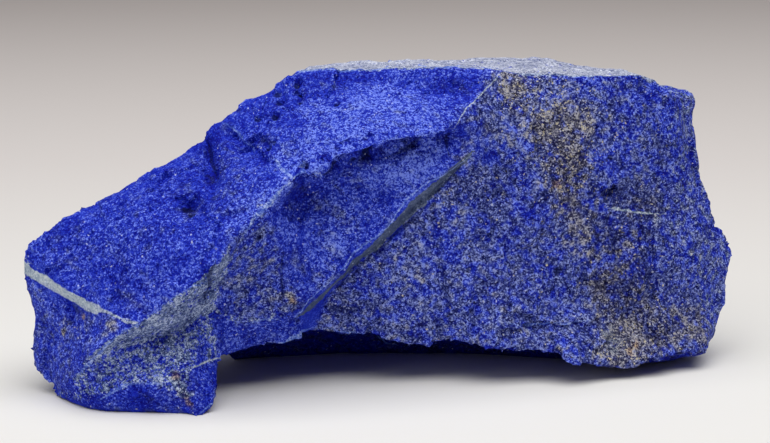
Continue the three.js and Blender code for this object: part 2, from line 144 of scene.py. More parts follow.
class NodeBench:
    # makes and joins nodes in one tree
    def __init__(self, tree):
        self.tree = tree

    def node(self, kind, settings=None, sockets=None, output=0):
        made = self.tree.nodes.new(kind)
        for name, value in (settings or {}).items():
            if name == "stops":
                elements = made.color_ramp.elements
                elements.remove(elements[1])
                elements[0].position = value[0][0]
                elements[0].color = (*value[0][1], 1)
                for at, colour in value[1:]:
                    elements.new(at).color = (*colour, 1)
            else:
                setattr(made, name, value)
        for name, value in (sockets or {}).items():
            self.feed(made.inputs[name], value)
        return Wire(self, made.outputs[output]) if len(made.outputs) else made

    def feed(self, socket, value):
        if isinstance(value, Wire):
            self.tree.links.new(value.socket, socket)
        elif socket.type == "RGBA" and len(value) == 3:
            socket.default_value = (*value, 1)
        else:
            socket.default_value = value

    def maths(self, operation, *terms):
        if not any(isWide(term) for term in terms):
            return self.node("ShaderNodeMath", {"operation": operation}, dict(enumerate(terms)))
        if operation == "MULTIPLY" and not all(isWide(term) for term in terms):
            vector, scale = sorted(terms, key=isWide, reverse=True)
            return self.node("ShaderNodeVectorMath", {"operation": "SCALE"}, {0: vector, 3: scale})
        spread = [term if isWide(term) or isinstance(term, Wire) else (term,) * 3 for term in terms]
        return self.node("ShaderNodeVectorMath", {"operation": operation}, dict(enumerate(spread)))

    def dot(self, a, b):
        return self.node("ShaderNodeVectorMath", {"operation": "DOT_PRODUCT"}, {0: a, 1: b}, "Value")

    def step(self, value, low, high):
        # 0 below low, 1 above high, and smooth between them
        return self.node("ShaderNodeMapRange", {"interpolation_type": "SMOOTHSTEP"},
                         {"Value": value, "From Min": low, "From Max": high})

    def mix(self, share, a, b):
        # sockets 6 and 7 are the node's two colours, and output 2 is the mixed one
        return self.node("ShaderNodeMix", {"data_type": "RGBA"}, {0: share, 6: a, 7: b}, 2)

    def lay(self, colour, value, cover, over):
        # where value passes the cover's range, the cover's share of the colour gives way to another
        return self.mix(self.step(value, *cover["range"]) * cover["share"], colour, over)

    def ramp(self, value, stops):
        return self.node("ShaderNodeValToRGB", {"stops": stops}, {"Fac": value})

    def cloud(self, place, size, detail, rough, output="Fac"):
        # soft noise; size is that of a cloud, in the units of place
        return self.node("ShaderNodeTexNoise", {}, {
            "Vector": place, "Scale": 1 / size, "Detail": detail, "Roughness": rough}, output)

    def bend(self, place, size, detail=2, rough=0.6):
        # a soft shift in every direction, about half a unit at most
        return self.cloud(place, size, detail, rough, "Color") - (0.5, 0.5, 0.5)

    def cells(self, place, size):
        # a plain colour of its own for every cell
        return self.node("ShaderNodeTexVoronoi", {}, {"Vector": place, "Scale": 1 / size}, "Color")

    def channels(self, colour):
        apart = self.node("ShaderNodeSeparateColor", {}, {"Color": colour}).socket.node
        return [Wire(self, output) for output in apart.outputs]

    def chips(self, place, size):
        # height of tilted flat facets, about -0.5 to 0.5
        cell = self.cells(place, size)
        centre = Wire(self, cell.socket.node.outputs["Position"])
        return self.dot(place - centre, cell - (0.5, 0.5, 0.5)) / size


def newMaterial(name):
    material = bpy.data.materials.new(name)
    material.use_nodes = True
    material.node_tree.nodes.clear()
    bench = NodeBench(material.node_tree)
    shader = material.node_tree.nodes.new("ShaderNodeBsdfPrincipled")
    end = material.node_tree.nodes.new("ShaderNodeOutputMaterial")
    material.node_tree.links.new(shader.outputs[0], end.inputs["Surface"])
    return material, bench, shader


def geometryTree(name, inputs):
    tree = bpy.data.node_groups.new(name, "GeometryNodeTree")
    tree.interface.new_socket("Geometry", in_out="INPUT", socket_type="NodeSocketGeometry")
    tree.interface.new_socket("Geometry", in_out="OUTPUT", socket_type="NodeSocketGeometry")
    for label, kind in inputs.items():
        tree.interface.new_socket(label, in_out="INPUT", socket_type="NodeSocket" + kind)
    bench = NodeBench(tree)
    start = tree.nodes.new("NodeGroupInput")
    given = {socket.name: Wire(bench, socket) for socket in start.outputs if socket.name}
    end = tree.nodes.new("NodeGroupOutput")
    return tree, bench, given, end


def runTree(piece, tree, values):
    # runs a geometry tree on a piece and returns the result as a plain mesh
    modifier = piece.modifiers.new("shape", "NODES")
    modifier.node_group = tree
    for item in tree.interface.items_tree:
        if item.in_out == "INPUT" and item.name in values:
            modifier[item.identifier] = values[item.name]
    bpy.context.view_layer.update()
    evaluated = piece.evaluated_get(bpy.context.evaluated_depsgraph_get())
    mesh = bpy.data.meshes.new_from_object(evaluated)
    piece.modifiers.clear()
    return mesh


# floor and light

studio = {
    "floorHalf": 9,                       # metres
    # painted light falloff: the floor's colour darkens from near to far
    "floorNear": tint(236, 234, 230),
    "floorMiddle": tint(226, 220, 217),
    "floorFar": tint(210, 201, 198),
    "fadeStart": 0.02,                    # metres behind the stone's middle
    "fadeEnd": 0.66,
    "fadeMiddle": 0.3,                    # share of the fade at which the middle colour lies
    "floorRoughness": 0.8,
    "floorSpecular": 0.2,
    "aim": (0, 0, 0.03),                  # metres, where the lights point
    "lights": {
        "topLight": {"at": (0.04, -0.16, 0.85), "size": (1.2, 1.0), "power": 10.6},
        "leftLight": {"at": (-0.8, -0.5, 0.42), "size": (0.5, 0.4), "power": 1.2},
    },
    "skyColour": (1, 0.985, 0.97, 1),
    "sky": 0.1,
}


def floorMaterial(look):
    material, bench, shader = newMaterial("paleFloor")
    place = bench.node("ShaderNodeTexCoord", output="Object")
    back = bench.node("ShaderNodeSeparateXYZ", {}, {0: place}, "Y")
    # painted light falloff: darker towards the back
    depth = bench.node("ShaderNodeMapRange", {}, {
        "Value": back, "From Min": look["fadeStart"], "From Max": look["fadeEnd"]})
    colour = bench.ramp(depth, [(0.0, look["floorNear"]), (look["fadeMiddle"], look["floorMiddle"]),
                                (1.0, look["floorFar"])])
    bench.feed(shader.inputs["Base Color"], colour)
    shader.inputs["Roughness"].default_value = look["floorRoughness"]
    shader.inputs["Specular IOR Level"].default_value = look["floorSpecular"]
    return material


def layFloor(look):
    half = look["floorHalf"]
    mesh = bpy.data.meshes.new("floor")
    corners = [(-half, -half, 0), (half, -half, 0), (half, half, 0), (-half, half, 0)]
    mesh.from_pydata(corners, [], [(0, 1, 2, 3)])
    mesh.materials.append(floorMaterial(look))
    floor = bpy.data.objects.new("floor", mesh)
    scene.collection.objects.link(floor)


def hangLight(name, lamp, target):
    data = bpy.data.lights.new(name, "AREA")
    data.shape = "RECTANGLE"
    data.size, data.size_y = lamp["size"]
    data.energy = lamp["power"]
    light = bpy.data.objects.new(name, data)
    light.location = lamp["at"]
    aim = Vector(target) - Vector(lamp["at"])
    light.rotation_euler = aim.to_track_quat("-Z", "Y").to_euler()
    scene.collection.objects.link(light)


def setSky(look):
    world = bpy.data.worlds.new("studio")
    world.use_nodes = True
    sky = world.node_tree.nodes["Background"].inputs
    sky["Color"].default_value = look["skyColour"]
    sky["Strength"].default_value = look["sky"]
    scene.world = world


layFloor(studio)
for lampName, lampLook in studio["lights"].items():
    hangLight(lampName, lampLook, studio["aim"])
setSky(studio)
print("stage 2: camera, floor and lights are set")


# the fine skin of the stone

stoneSkin = {
    "weld": 0.002,                   # mm, joins the corners of the solid's loose triangles
    "pitch": 0.54,                   # mm between the points of the skin
    "settleRounds": 6,               # smooths the facets of the solid but keeps its broken edges
    "settleStep": 0.8,
    "creaseTurn": 0.05,              # a smaller value keeps more of the edges
    "chipSize": 6.4, "chipDepth": 0.7,
    "crumbSize": 2.6, "crumbDepth": 0.3,
    "grainSize": 0.9, "grainDepth": 0.16,
    "driftSize": 2.4, "drift": 0.9,  # bends the straight edges of the chips
    "stretch": (1.0, 1.0, 0.66),     # makes the chips half as tall again as they are wide
    "calmShare": 0.85,               # how much of its relief a calm place loses
    "pitDepth": 0.7, "pitEdge": (-0.5, 0.6),
    "crackDepth": 0.5, "crackEdge": (-0.6, 0.1), "crackOpen": (0, 0.3),
    "restEdge": (1.2, 0.4),          # mm over the floor, between which the skin turns calm
    "clearance": 0.02,               # mm that is left to the sides and top of the solid's box
    "wornEdges": [                   # how far small and large forms stand out to count as rim, worn pale and partly a painted highlight, or hollow, a painted shade
        {"rounds": 3, "rim": (0.02, 0.3), "rimShare": 0.6, "hollow": (0.02, 0.25), "hollowShare": 0.5},
        {"rounds": 14, "rim": (0.15, 0.8), "rimShare": 0.6, "hollow": (0.1, 0.7), "hollowShare": 0.6},
    ],
}


def pointsOf(mesh):
    points = np.zeros(len(mesh.vertices) * 3)
    mesh.vertices.foreach_get("co", points)
    return points.reshape(-1, 3) / mm


def setPoints(mesh, points):
    mesh.vertices.foreach_set("co", (points * mm).ravel())
    mesh.update()


def cornersOf(mesh):
    mesh.calc_loop_triangles()
    corners = np.zeros(len(mesh.loop_triangles) * 3, np.int32)
    mesh.loop_triangles.foreach_get("vertices", corners)
    return corners.reshape(-1, 3)


def edgesOf(mesh):
    ends = np.zeros(len(mesh.edges) * 2, np.int32)
    mesh.edges.foreach_get("vertices", ends)
    return ends.reshape(-1, 2)


def gather(index, values, count):
    return np.stack([np.bincount(index, values[:, i], count) for i in range(values.shape[1])], 1)


def unit(vectors):
    # the least length only keeps it from dividing by zero
    return vectors / np.maximum(np.linalg.norm(vectors, axis=-1, keepdims=True), 1e-12)


def normalsOf(points, corners):
    a, b, c = (points[corners[:, i]] for i in range(3))
    facing = np.cross(b - a, c - a)
    return unit(sum(gather(corners[:, i], facing, len(points)) for i in range(3)))


def neighbourMean(values, edges):
    # the mean of what lies one edge away, for one value or several at each point
    first, second = edges.T
    count = len(values)
    rows = values.reshape(count, -1)
    degree = np.bincount(first, minlength=count) + np.bincount(second, minlength=count)
    total = gather(first, rows[second], count) + gather(second, rows[first], count)
    return (total / degree[:, None]).reshape(values.shape)


def settleFacets(points, corners, edges, look):
    # moves each point to the planes of its neighbours, those that face its way the most
    first, second = edges.T
    count = len(points)
    for _ in range(look["settleRounds"]):
        normals = normalsOf(points, corners)
        turn = 1 - (normals[first] * normals[second]).sum(1)
        weight = np.exp(-turn / look["creaseTurn"])
        step = points[second] - points[first]
        lift = (np.bincount(first, weight * (step * normals[first]).sum(1), count)
                + np.bincount(second, -weight * (step * normals[second]).sum(1), count))
        total = np.bincount(first, weight, count) + np.bincount(second, weight, count)
        points = points + normals * (lift / np.maximum(total, 1e-6))[:, None] * look["settleStep"]
    return points


def fineSkin(look):
    source = bpy.data.objects.new("lapisSource", packedStone.copy())
    scene.collection.objects.link(source)
    weld = source.modifiers.new("weld", "WELD")
    weld.merge_threshold = look["weld"] * mm
    remesh = source.modifiers.new("remesh", "REMESH")
    remesh.mode = "VOXEL"
    remesh.voxel_size = look["pitch"] * mm
    evaluated = source.evaluated_get(bpy.context.evaluated_depsgraph_get())
    mesh = bpy.data.meshes.new_from_object(evaluated)
    bpy.data.objects.remove(source)
    mesh.materials.clear()
    mesh.name = "lapisSkin"
    points, corners, edges = pointsOf(mesh), cornersOf(mesh), edgesOf(mesh)
    setPoints(mesh, settleFacets(points, corners, edges, look))
    print("   skin:", len(points), "points and", len(corners), "triangles")
    return mesh


stone = bpy.data.objects.new("lapisStone", fineSkin(stoneSkin))
scene.collection.objects.link(stone)
print("stage 3: the fine skin is made")


# where things are on the stone, in mm

# Points on each broken face. The rest of the face is found from them: it ends at the creases.
faceSeeds = {
    "slope": [(-45.3, -18, 30), (-33.3, -14, 37), (-25.3, -14, 42), (-55.3, -13, 28),
              (-40.3, -22, 25), (-22.3, -8, 48), (-30.3, -22, 31), (-52.3, -19, 21)],
    "shell": [(-10.3, -12, 47), (-0.3, -9, 49), (7.7, -7, 50), (-14.3, -15, 43), (11.7, -5, 51),
              (-5.3, -15, 45)],
    "cove": [(-0.3, 0, 56), (-10.3, -1.5, 55), (11.7, -1, 54), (4.7, -0.5, 55.5), (-14.3, -2.5, 55)],
    "recess": [(-11.8, -17, 40), (-3.3, -14, 43), (2.7, -12.5, 44.5), (7.7, -11, 46)],
    "trough": [(-8.3, -16, 33), (-0.3, -12, 37), (7.7, -10, 41), (-14.3, -17, 24), (10.7, -8.5, 43.5)],
    "longStep": [(9.7, -8, 37.5), (4.2, -10.5, 34), (0.7, -11, 29), (-4.3, -12, 25), (-11.3, -14, 18),
                 (-14.8, -15.5, 12.5)],
    "mainFace": [(19.7, -6, 35), (29.7, -3, 45), (44.7, 0, 40), (9.7, -9, 15), (29.7, -5, 20),
                 (49.7, 0, 15), (21.7, -2, 52), (39.7, 0.5, 52), (-0.3, -10, 17), (-9.3, -12.5, 13),
                 (11.7, -8, 30)],
    "eastFacet": [(55.7, 7, 40), (57.7, 8, 28), (61.7, 8, 18), (61.7, 7, 8)],
    "flank": [(-23.3, -20, 27), (-22.3, -19, 20), (-27.3, -20, 20)],
    "flankFoot": [(-22.3, -18, 12), (-27.3, -18, 11), (-17.3, -17, 12.5)],
    "ledge": [(-33.3, -24.5, 20), (-40.3, -26.5, 15), (-47.3, -28, 11.5), (-30.3, -22, 22)],
    "footFace": [(-35.3, -22.5, 10.5), (-45.3, -27, 8), (-52.3, -25, 5), (-31.8, -20, 11)],
    "footLip": [(-45.3, -27.5, 2.5), (-36.3, -28, 2), (-53.3, -23, 1)],
    "toe": [(-31.8, -26, 4)],
    "veinStep": [(-61.3, -13, 21.5), (-58.3, -16, 20), (-55.3, -18.5, 19), (-51.3, -21.5, 18)],
    "westEnd": [(-60.3, -15, 12), (-52.3, -22, 12), (-63.3, -11.5, 15), (-57.3, -18, 6)],
    "top": [(-0.3, 10, 56.5), (29.7, 12, 56), (14.7, 20, 56)],
    "shoulder": [(53.7, 10, 50.5), (48.7, 8, 53)],
    "rearEast": [(34.7, 27, 30), (29.7, 27, 45), (44.7, 24, 12), (14.7, 26, 25)],
    "rearStep": [(-5.3, 27, 15), (-1.3, 28, 30), (9.7, 27, 46)],
    "rearWest": [(-12.3, 26, 20), (-5.3, 26, 40), (-15.3, 22, 8)],
    "rearSlope": [(-25.3, 12, 42), (-45.3, 4, 30), (-15.3, 10, 52)],
    "undercut": [(-45.3, 3, 10), (-55.3, -5, 12), (-30.3, 15, 10)],
    "rearEnd": [(59.7, 17, 30), (57.7, 18, 12), (56.7, 18, 45)],
    "arch": [(-0.3, 0, 5), (29.7, 2, 3), (-22.3, -5, 6)],
}

# Small steps, cracks and grooves that are cut into the skin. A step sinks the side it names.
cuts = {
    "eastLedge": {"line": [(39.7, 0, 31), (41.7, 0.5, 30.5), (44.2, 1.5, 30), (48.2, 2.5, 29.5),
                           (51.7, 3.5, 29)],
                  "side": (0, 0, 1), "depth": 0.6, "reach": 4.5},
    "sillLedge": {"line": [(18.2, -6.5, 8.5), (21.2, -6, 9.5), (24.2, -5.5, 10), (28.7, -3.5, 10.5),
                           (31.7, -3, 9.5), (34.2, -3, 10), (37.2, -2.5, 11)],
                  "side": (0, 0, -1), "depth": 0.8, "reach": 3.5},
    "sillBreak": {"line": [(37.2, -2.5, 11), (37.7, -2.5, 8.5), (38.2, -2, 5.5), (38.7, -2, 3.5)],
                  "side": (-1, 0, 0), "depth": 0.6, "reach": 3},
    "underLip": {"line": [(-17.3, -20, 39.5), (-10.8, -18.5, 41), (-7.8, -17, 43.5), (-3.3, -15.5, 44),
                          (-0.3, -14.5, 45), (5.7, -12.5, 46), (10.2, -10, 46.5), (12.7, -7, 48)],
                 "side": (0.1, 0.2, -1), "depth": 2.8, "reach": 6},
    "stepGroove": {"line": [(13.5, -6.5, 41), (8.6, -7.4, 35.5), (5.1, -8.9, 33), (0.6, -9.9, 27.5),
                            (-4.9, -10.9, 23.5), (-8.9, -11.9, 19), (-11.4, -12.7, 16)],
                   "side": (-0.75, -0.3, 0.6), "depth": 0.5, "reach": 2.4},
    "troughLedge": {"line": [(-7.8, -12.5, 38), (-4.3, -11.5, 37.5), (-1.8, -11, 36.5),
                             (1.7, -10.5, 35.5), (4.7, -10, 36)],
                    "side": (0, 0, -1), "depth": 0.7, "reach": 3.5},
    "slopeGroove": {"line": [(-32.8, -4, 44), (-32.8, -6.5, 43), (-32.8, -9.5, 41), (-32.3, -12, 38.5),
                             (-31.8, -16.5, 36.5), (-31.3, -19, 35)],
                    "side": (1, 0, 0), "depth": 0.7, "reach": 4},
    "slopeNotch": {"line": [(-37.8, -15, 35.5), (-35.8, -15, 35), (-34.3, -16, 34.5),
                            (-32.8, -18.5, 34), (-32.3, -20.5, 33.5)],
                   "side": (0.3, 0, 1), "depth": 0.8, "reach": 2.6},
    "scarRim": {"line": [(-28.3, -5, 47), (-26.8, -6.5, 45.5), (-24.8, -9.5, 44.5), (-22.3, -12.5, 43),
                         (-20.8, -15, 42)],
                "side": (-0.6, -0.2, -0.7), "depth": 0.8, "reach": 4},
    "crackWest": {"line": [(-19.3, -1.5, 55), (-19.3, -3, 53), (-18.8, -5.5, 50.5)],
                  "depth": 0.7, "width": 0.45},
    "crackEast": {"line": [(-15.8, -1.5, 56.5), (-15.8, -3, 54), (-16.3, -6, 51.5)],
                  "depth": 0.6, "width": 0.4},
    "sealStep": {"line": [(20.2, -3.5, 40.5), (23.7, -3.5, 37), (31.2, -3, 33), (36.7, -1.5, 32)],
                 "side": (-0.5, 0, -1), "depth": 0.5, "reach": 5},
    "longSeam": {"line": [(36.2, -0.5, 41), (37.2, -1, 32.5), (37.7, -1.5, 25.5), (37.7, -2, 18),
                          (38.2, -2.5, 10.5), (39.7, -2, 4)],
                 "side": (1, 0, 0), "depth": 0.4, "reach": 5},
    "footShelf": {"line": [(-53.3, -25, 2), (-50.3, -27, 4), (-45.8, -28, 5.5), (-41.3, -28, 6.5),
                           (-37.3, -28, 5)],
                  "side": (0, 0, -1), "depth": 0.45, "reach": 2.5},
    "westCrack": {"line": [(-64.8, -11, 13), (-62.3, -13, 12.5), (-59.8, -15, 12.5)],
                  "depth": 0.6, "width": 0.5},
}

# Places where the skin is pushed a little, as a way in mm, how far it reaches and the push.
nudges = {
    "brow": {"line": [(-25.6, -2.3, 49.7), (-28.2, -3.2, 47.6), (-31.4, -3.9, 45.3)], "reach": 3.6,
             "push": (-1.1, 0, 1.3)},
    "browSlope": {"line": [(-36, -4.5, 42.6), (-42, -6, 40)], "reach": 3, "push": (-0.3, 0, 0.5)},
    "browDip": {"line": [(-52.4, -7.9, 34.7), (-51, -7.6, 35.3)], "reach": 2.6, "push": (0.4, 0, -0.7)},
    "westBrow": {"line": [(-62.5, -9, 28), (-57, -8.6, 32.5)], "reach": 3, "push": (-0.3, 0, 0.4)},
    "shoulderPeak": {"line": [(49.6, 10, 53.2), (49.4, 8, 53)], "reach": 1.8, "push": (0.9, 0, 0.3)},
    "shoulderDip": {"line": [(52, 13, 52), (53.5, 13, 51.6)], "reach": 1.8, "push": (0, 0, -0.5)},
    "westEdge": {"line": [(-65, -10, 24), (-65.4, -10, 18.5)], "reach": 3, "push": (-0.6, 0, 0.2)},
    "westFoot": {"line": [(-65, -10, 14.5), (-65, -9.6, 10), (-63, -12.5, 5)], "reach": 4,
                 "push": (-0.9, 0, 0)},
    "archLip": {"line": [(-23, -17.4, 10), (-15, -15.7, 12.5), (-8, -12.3, 11.5)], "reach": 5.5,
                "push": (0, 3.6, -0.77)},
    "mainFoot": {"line": [(20, -6.3, 6.2), (30, -4, 4.3)], "reach": 7, "push": (0, -4.8, 0.95)},
    "mainFootEast": {"line": [(36, -3, 2.8), (44, -1, 1.6)], "reach": 6, "push": (0, -5, 0.2)},
    "eastFoot": {"line": [(52, 2, 2), (60, 4.6, 1.8)], "reach": 5.5, "push": (0, -3.6, 1.6)},
    "eastEdge": {"line": [(57, 12.5, 44), (58.6, 12.1, 36), (60.6, 12, 31)], "reach": 4,
                 "push": (0.7, 0, 0)},
    "shoulderCorner": {"line": [(55.8, 13.2, 50.3), (56.6, 12.3, 49)], "reach": 2.2,
                       "push": (1.0, 0, 0.1)},
    "eastBelly": {"line": [(65.2, 12, 17), (63.8, 11.6, 11)], "reach": 3.5, "push": (0.9, 0, 0)},
    "eastDip": {"line": [(63.5, 12, 25), (64.8, 12, 22)], "reach": 2, "push": (-0.5, 0, 0)},
}

# Hollows, and swellings with a depth under 0, as (u, v, reach in mm, depth in mm).
dents = [(299, 202, 4.2, 1.0), (312, 192, 3.0, 0.5), (206, 128, 1.5, 0.7), (207, 142, 1.6, 0.8),
         (208, 157, 1.6, 0.7), (212, 172, 1.6, 0.5), (383, 199, 1.5, 0.6), (188, 206, 1.3, 0.6),
         (300, 228, 2.0, -0.4), (349, 260, 1.6, 0.6), (336, 247, 1.8, -0.4), (207, 275, 1.6, 0.6),
         (206, 295, 1.6, 0.6), (105, 372, 2.4, 0.4), (628, 228, 4.0, 0.4), (545, 190, 3.0, -0.4),
         (575, 205, 3.5, 0.4), (490, 195, 2.5, 0.4), (605, 270, 3.0, 0.3), (520, 260, 3.0, 0.3)]

# How the cuts leave the straight and fade away.
cutLook = {
    "wanderSize": 2.6, "wander": 0.7,     # mm
    "taper": 0.12,                        # share of its length over which a cut fades at each end
    "stepEdge": 0.2,                      # mm, half the width of the edge of a step
    "crackEnds": 0.25,                    # share of a crack's depth that is left at its ends
    "crackReach": 2, "margin": 1.5,       # mm, how far from a line the skin is looked at
}


def treeOf(mesh):
    form = bmesh.new()
    form.from_mesh(mesh)
    tree = BVHTree.FromBMesh(form)
    form.free()
    return tree


def onStone(tree, look, u, v):
    # the place on the stone, in mm, that lies at u, v of the frame
    eye, forward, upward = cameraAxes(look)
    wide, high = look["frame"]
    reach = look["lens"] / look["sensor"] * wide
    aim = (forward * reach + Vector((u - wide / 2, 0, 0)) + upward * (high / 2 - v)).normalized()
    found = tree.ray_cast(eye * mm, aim)[0]
    if found is None:
        found = tree.find_nearest((eye + aim * look["distance"]) * mm)[0]
    return tuple(found / mm)


def markPlaces(tree, marks):
    # marks begin with u and v, which become x, y and z on the stone
    return [(*onStone(tree, cameraLook, u, v), *rest) for u, v, *rest in marks]


def smooth(low, high, value):
    share = np.clip((value - low) / (high - low), 0, 1)
    return share * share * (3 - 2 * share)


def bell(distance, reach, steepness=1.0):
    # 1 in the middle, and soft to nothing somewhat past the reach
    return np.exp(-(distance / reach) ** 2 * steepness)


def toLine(points, line):
    # distance to a bent line, the share of the way along it, and the offset from it
    line = np.array(line, float)
    lengths = np.linalg.norm(np.diff(line, axis=0), axis=1)
    starts = np.concatenate([[0], np.cumsum(lengths)])
    best = np.full(len(points), np.inf)
    along = np.zeros(len(points))
    offset = np.zeros((len(points), 3))
    for i, length in enumerate(lengths):
        way = (line[i + 1] - line[i]) / length
        t = np.clip((points - line[i]) @ way, 0, length)
        gap = points - (line[i] + t[:, None] * way)
        far = np.linalg.norm(gap, axis=1)
        near = far < best
        best[near] = far[near]
        along[near] = (starts[i] + t[near]) / starts[-1]
        offset[near] = gap[near]
    return best, along, offset


def wobble(points, size, height, seed):
    # slow wander for drawn lines, the same on every run
    shift = Vector((seed * 7.3, seed * 3.1, seed * 5.7))
    moved = [noise.noise_vector(Vector(p) / size + shift) for p in points]
    return np.array(moved, float).reshape(-1, 3) * height


def facesOf(mesh, seeds, weld, creaseAngle=20, creaseCost=9.0):
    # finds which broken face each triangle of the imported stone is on: every face grows from its
    # seeds, at a cost that rises steeply where it would have to turn a crease
    form = bmesh.new()
    form.from_mesh(mesh)
    bmesh.ops.remove_doubles(form, verts=form.verts, dist=weld * mm)
    form.faces.ensure_lookup_table()
    form.normal_update()
    tree = BVHTree.FromBMesh(form)
    centres = [face.calc_center_median() / mm for face in form.faces]
    cost = [math.inf] * len(form.faces)
    label = [0] * len(form.faces)
    queue = []
    for number, places in enumerate(seeds.values()):
        for seed in places:
            found = tree.find_nearest(Vector(seed) * mm)[2]
            heapq.heappush(queue, (0.0, found, number))
    while queue:
        reached, index, number = heapq.heappop(queue)
        if reached >= cost[index]:
            continue
        cost[index] = reached
        label[index] = number
        face = form.faces[index]
        for edge in face.edges:
            for other in edge.link_faces:
                if other.index != index and cost[other.index] == math.inf:
                    turn = face.normal.angle(other.normal, 0) / math.radians(creaseAngle)
                    step = (centres[index] - centres[other.index]).length
                    heapq.heappush(queue, (reached + step * (1 + turn ** 3 * creaseCost),
                                           other.index, number))
    form.free()
    return tree, label


def faceShares(points, mesh, seeds, weld):
    # for each face's name, 1 at the skin's points that lie on it and 0 elsewhere
    tree, label = facesOf(mesh, seeds, weld)
    owner = np.array([label[tree.find_nearest(Vector(p) * mm)[2]] for p in points])
    return {name: (owner == number).astype(float) for number, name in enumerate(seeds)}


def blur(values, edges, rounds):
    for _ in range(rounds):
        values = 0.5 * values + 0.5 * neighbourMean(values, edges)
    return values


def cutDepth(points, cut, seed, look):
    depth = np.zeros(len(points))
    near = toLine(points, cut["line"])[0] < cut.get("reach", look["crackReach"]) + look["margin"]
    wander = points[near] + wobble(points[near], look["wanderSize"], look["wander"], seed)
    distance, along, offset = toLine(wander, cut["line"])
    taper = smooth(0, look["taper"], along) * smooth(1, 1 - look["taper"], along)
    if "side" in cut:
        side = offset @ unit(np.array(cut["side"], float))
        edge = look["stepEdge"]
        drop = smooth(-edge, edge, side) * smooth(cut["reach"], edge, distance) * taper
    else:
        drop = bell(distance, cut["width"]) * np.maximum(taper, look["crackEnds"])
    depth[near] = cut["depth"] * drop
    return depth


def pushSkin(points):
    moved = points.copy()
    for nudge in nudges.values():
        distance = toLine(points, nudge["line"])[0]
        moved += bell(distance, nudge["reach"])[:, None] * nudge["push"]
    return moved


def attributeOn(mesh, name, values):
    layer = mesh.attributes.new(name, "FLOAT", "POINT")
    layer.data.foreach_set("value", values.astype(np.float32))


def fractureTree(material, look):
    # tilted chips of two sizes and a fine grain, pressed along the skin's own direction;
    # the inputs have the names of the values in stoneSkin
    sizes = ("chipSize", "chipDepth", "crumbSize", "crumbDepth", "grainSize", "grainDepth", "drift")
    tree, bench, given, end = geometryTree(
        "fracture", {**dict.fromkeys(sizes, "Float"), "stretch": "Vector"})
    place = bench.node("GeometryNodeInputPosition") * (1 / mm) * given["stretch"]
    place = place + bench.bend(place, look["driftSize"]) * (given["drift"] * 2)
    height = 0.0
    for name in ("chip", "crumb"):
        height = height + bench.chips(place, given[name + "Size"]) * given[name + "Depth"] * 2
    grain = bench.cloud(place, given["grainSize"], 3.0, 0.65)
    height = height + (grain - 0.5) * given["grainDepth"] * 2
    calm = bench.node("GeometryNodeInputNamedAttribute", {"data_type": "FLOAT"}, {"Name": "calm"})
    height = height * (1 - calm * look["calmShare"])
    out = bench.node("GeometryNodeInputNormal")
    moved = bench.node("GeometryNodeSetPosition", {}, {
        "Geometry": given["Geometry"], "Offset": out * (height * mm)})
    plain = bench.node("GeometryNodeRealizeInstances", {}, {"Geometry": moved})
    done = bench.node("GeometryNodeSetMaterial", {}, {"Geometry": plain, "Material": material})
    bench.feed(end.inputs["Geometry"], done)
    return tree


# what covers the stone: how much, and where

